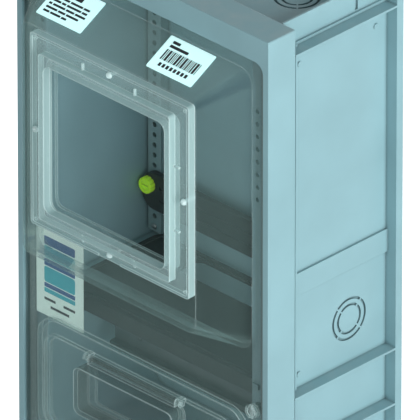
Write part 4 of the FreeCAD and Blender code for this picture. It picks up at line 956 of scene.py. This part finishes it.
# Name, place and breadth of each light, and the setting that holds its power.
LIGHTS = (
    ("key_light", (6.0, -1.3, 1.3), 4.0, "key_power"),
    ("fill_light", (-0.4, -4.4, 2.4), 3.0, "fill_power"),
    ("back_light", (-3.6, 4.0, 0.45), 1.4, "back_power"),
    ("low_light", (0.3, -2.0, -0.15), 0.8, "low_power"),
)


class METERBOX_OT_stage(bpy.types.Operator):
    """Adds the floor, the lights, the surroundings and the camera"""

    bl_idname = "meterbox.stage"
    bl_label = "Studio"

    def execute(self, context):
        studio = context.scene.meter_box_studio
        make_floor(studio)
        for name, place, breadth, setting in LIGHTS:
            make_light(name, place, breadth, getattr(studio, setting))
        make_surroundings(studio)
        make_camera(studio)
        context.scene.view_settings.view_transform = "Standard"
        return {"FINISHED"}


FLOOR_RADIUS = 30.0
FLOOR_DROP = 0.001
FLOOR_TINT = (0.8, 0.8, 0.8, 1)
FLOOR_ROUGHNESS = 0.9


def make_floor(studio):
    """A wide pale floor under the box that looks evenly white."""
    mesh = bmesh.new()
    bmesh.ops.create_circle(mesh, cap_ends=True, radius=FLOOR_RADIUS, segments=studio.floor_sides)
    data = bpy.data.meshes.new("floor")
    mesh.to_mesh(data)
    mesh.free()
    floor = bpy.data.objects.new("floor", data)
    floor.location.z = cad_box[0].z - FLOOR_DROP
    bpy.context.scene.collection.objects.link(floor)
    material, tree, shader = new_material("floor_white")
    shader.inputs["Base Color"].default_value = FLOOR_TINT
    shader.inputs["Roughness"].default_value = FLOOR_ROUGHNESS
    shader.inputs["Emission Color"].default_value = WHITE
    seen = add_node(tree, "ShaderNodeLightPath").outputs["Is Camera Ray"]
    feed(tree, shader.inputs["Emission Strength"], seen)
    data.materials.append(material)


def make_light(name, place, breadth, power):
    """A square soft light that looks at the middle of the box."""
    lamp = bpy.data.lights.new(name, "AREA")
    lamp.energy = power
    lamp.size = breadth
    light = bpy.data.objects.new(name, lamp)
    light.location = place
    middle = (cad_box[0] + cad_box[1]) / 2
    light.rotation_euler = (middle - light.location).to_track_quat("-Z", "Y").to_euler()
    bpy.context.scene.collection.objects.link(light)


def make_surroundings(studio):
    """White surroundings: bright to the camera, weaker as a light."""
    world = bpy.data.worlds.new("surroundings")
    world.use_nodes = True
    tree = world.node_tree
    seen = add_node(tree, "ShaderNodeLightPath").outputs["Is Camera Ray"]
    sky = tree.nodes["Background"]
    feed(tree, sky.inputs["Color"], blend(tree, seen, shade(studio.sky, 1), WHITE))
    feed(tree, sky.inputs["Strength"], spread(tree, seen, studio.surroundings, 1.0))
    bpy.context.scene.world = world


SENSOR_WIDTH = 36
CLIP_END = 200


def make_camera(studio):
    """A long lens at the photograph's angle, aimed from the front right top corner of the lid."""
    turn, rise = studio.azimuth, studio.elevation
    right = Vector((math.cos(turn), math.sin(turn), 0))
    back = Vector((math.sin(turn) * math.cos(rise), -math.cos(turn) * math.cos(rise), math.sin(rise)))
    up = back.cross(right)
    lens = bpy.data.cameras.new("camera")
    lens.lens = studio.lens
    lens.sensor_width = SENSOR_WIDTH
    lid_low, lid_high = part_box("lid_frame")
    corner = Vector((lid_high.x, lid_low.y, lid_high.z))
    aim = corner + right * studio.shift_right + up * studio.shift_up - back * studio.aim_depth
    camera = bpy.data.objects.new("camera", lens)
    camera.location = aim + back * (studio.view_width * lens.lens / lens.sensor_width)
    camera.rotation_mode = "QUATERNION"
    camera.rotation_quaternion = (-back).to_track_quat("-Z", "Y")
    lens.clip_end = CLIP_END
    bpy.context.scene.collection.objects.link(camera)
    bpy.context.scene.camera = camera


class METERBOX_PT_panel(bpy.types.Panel):
    """Lists the steps that dress the meter box"""

    bl_idname = "METERBOX_PT_panel"
    bl_label = "Meter Box"
    bl_space_type = "VIEW_3D"
    bl_region_type = "UI"
    bl_category = "Meter Box"

    def draw(self, context):
        for step in STEPS:
            self.layout.operator(step.bl_idname)


STEPS = (
    METERBOX_OT_groups,
    METERBOX_OT_housing,
    METERBOX_OT_cover,
    METERBOX_OT_fittings,
    METERBOX_OT_screws,
    METERBOX_OT_labels,
    METERBOX_OT_stage,
)
SETTINGS = (MeterBoxColours, MeterBoxSizes, MeterBoxStudio)


def register():
    for item in (*SETTINGS, *STEPS, METERBOX_PT_panel):
        bpy.utils.register_class(item)
    bpy.types.Scene.meter_box_colours = PointerProperty(type=MeterBoxColours)
    bpy.types.Scene.meter_box_sizes = PointerProperty(type=MeterBoxSizes)
    bpy.types.Scene.meter_box_studio = PointerProperty(type=MeterBoxStudio)


def unregister():
    del bpy.types.Scene.meter_box_studio
    del bpy.types.Scene.meter_box_sizes
    del bpy.types.Scene.meter_box_colours
    for item in reversed((*SETTINGS, *STEPS, METERBOX_PT_panel)):
        bpy.utils.unregister_class(item)


def main():
    register()
    bpy.ops.meterbox.groups()
    bpy.ops.meterbox.housing()
    bpy.ops.meterbox.cover()
    bpy.ops.meterbox.fittings()
    bpy.ops.meterbox.screws()
    bpy.ops.meterbox.labels()
    bpy.ops.meterbox.stage()
    bpy.context.view_layer.update()


if __name__ == "__main__":
    main()
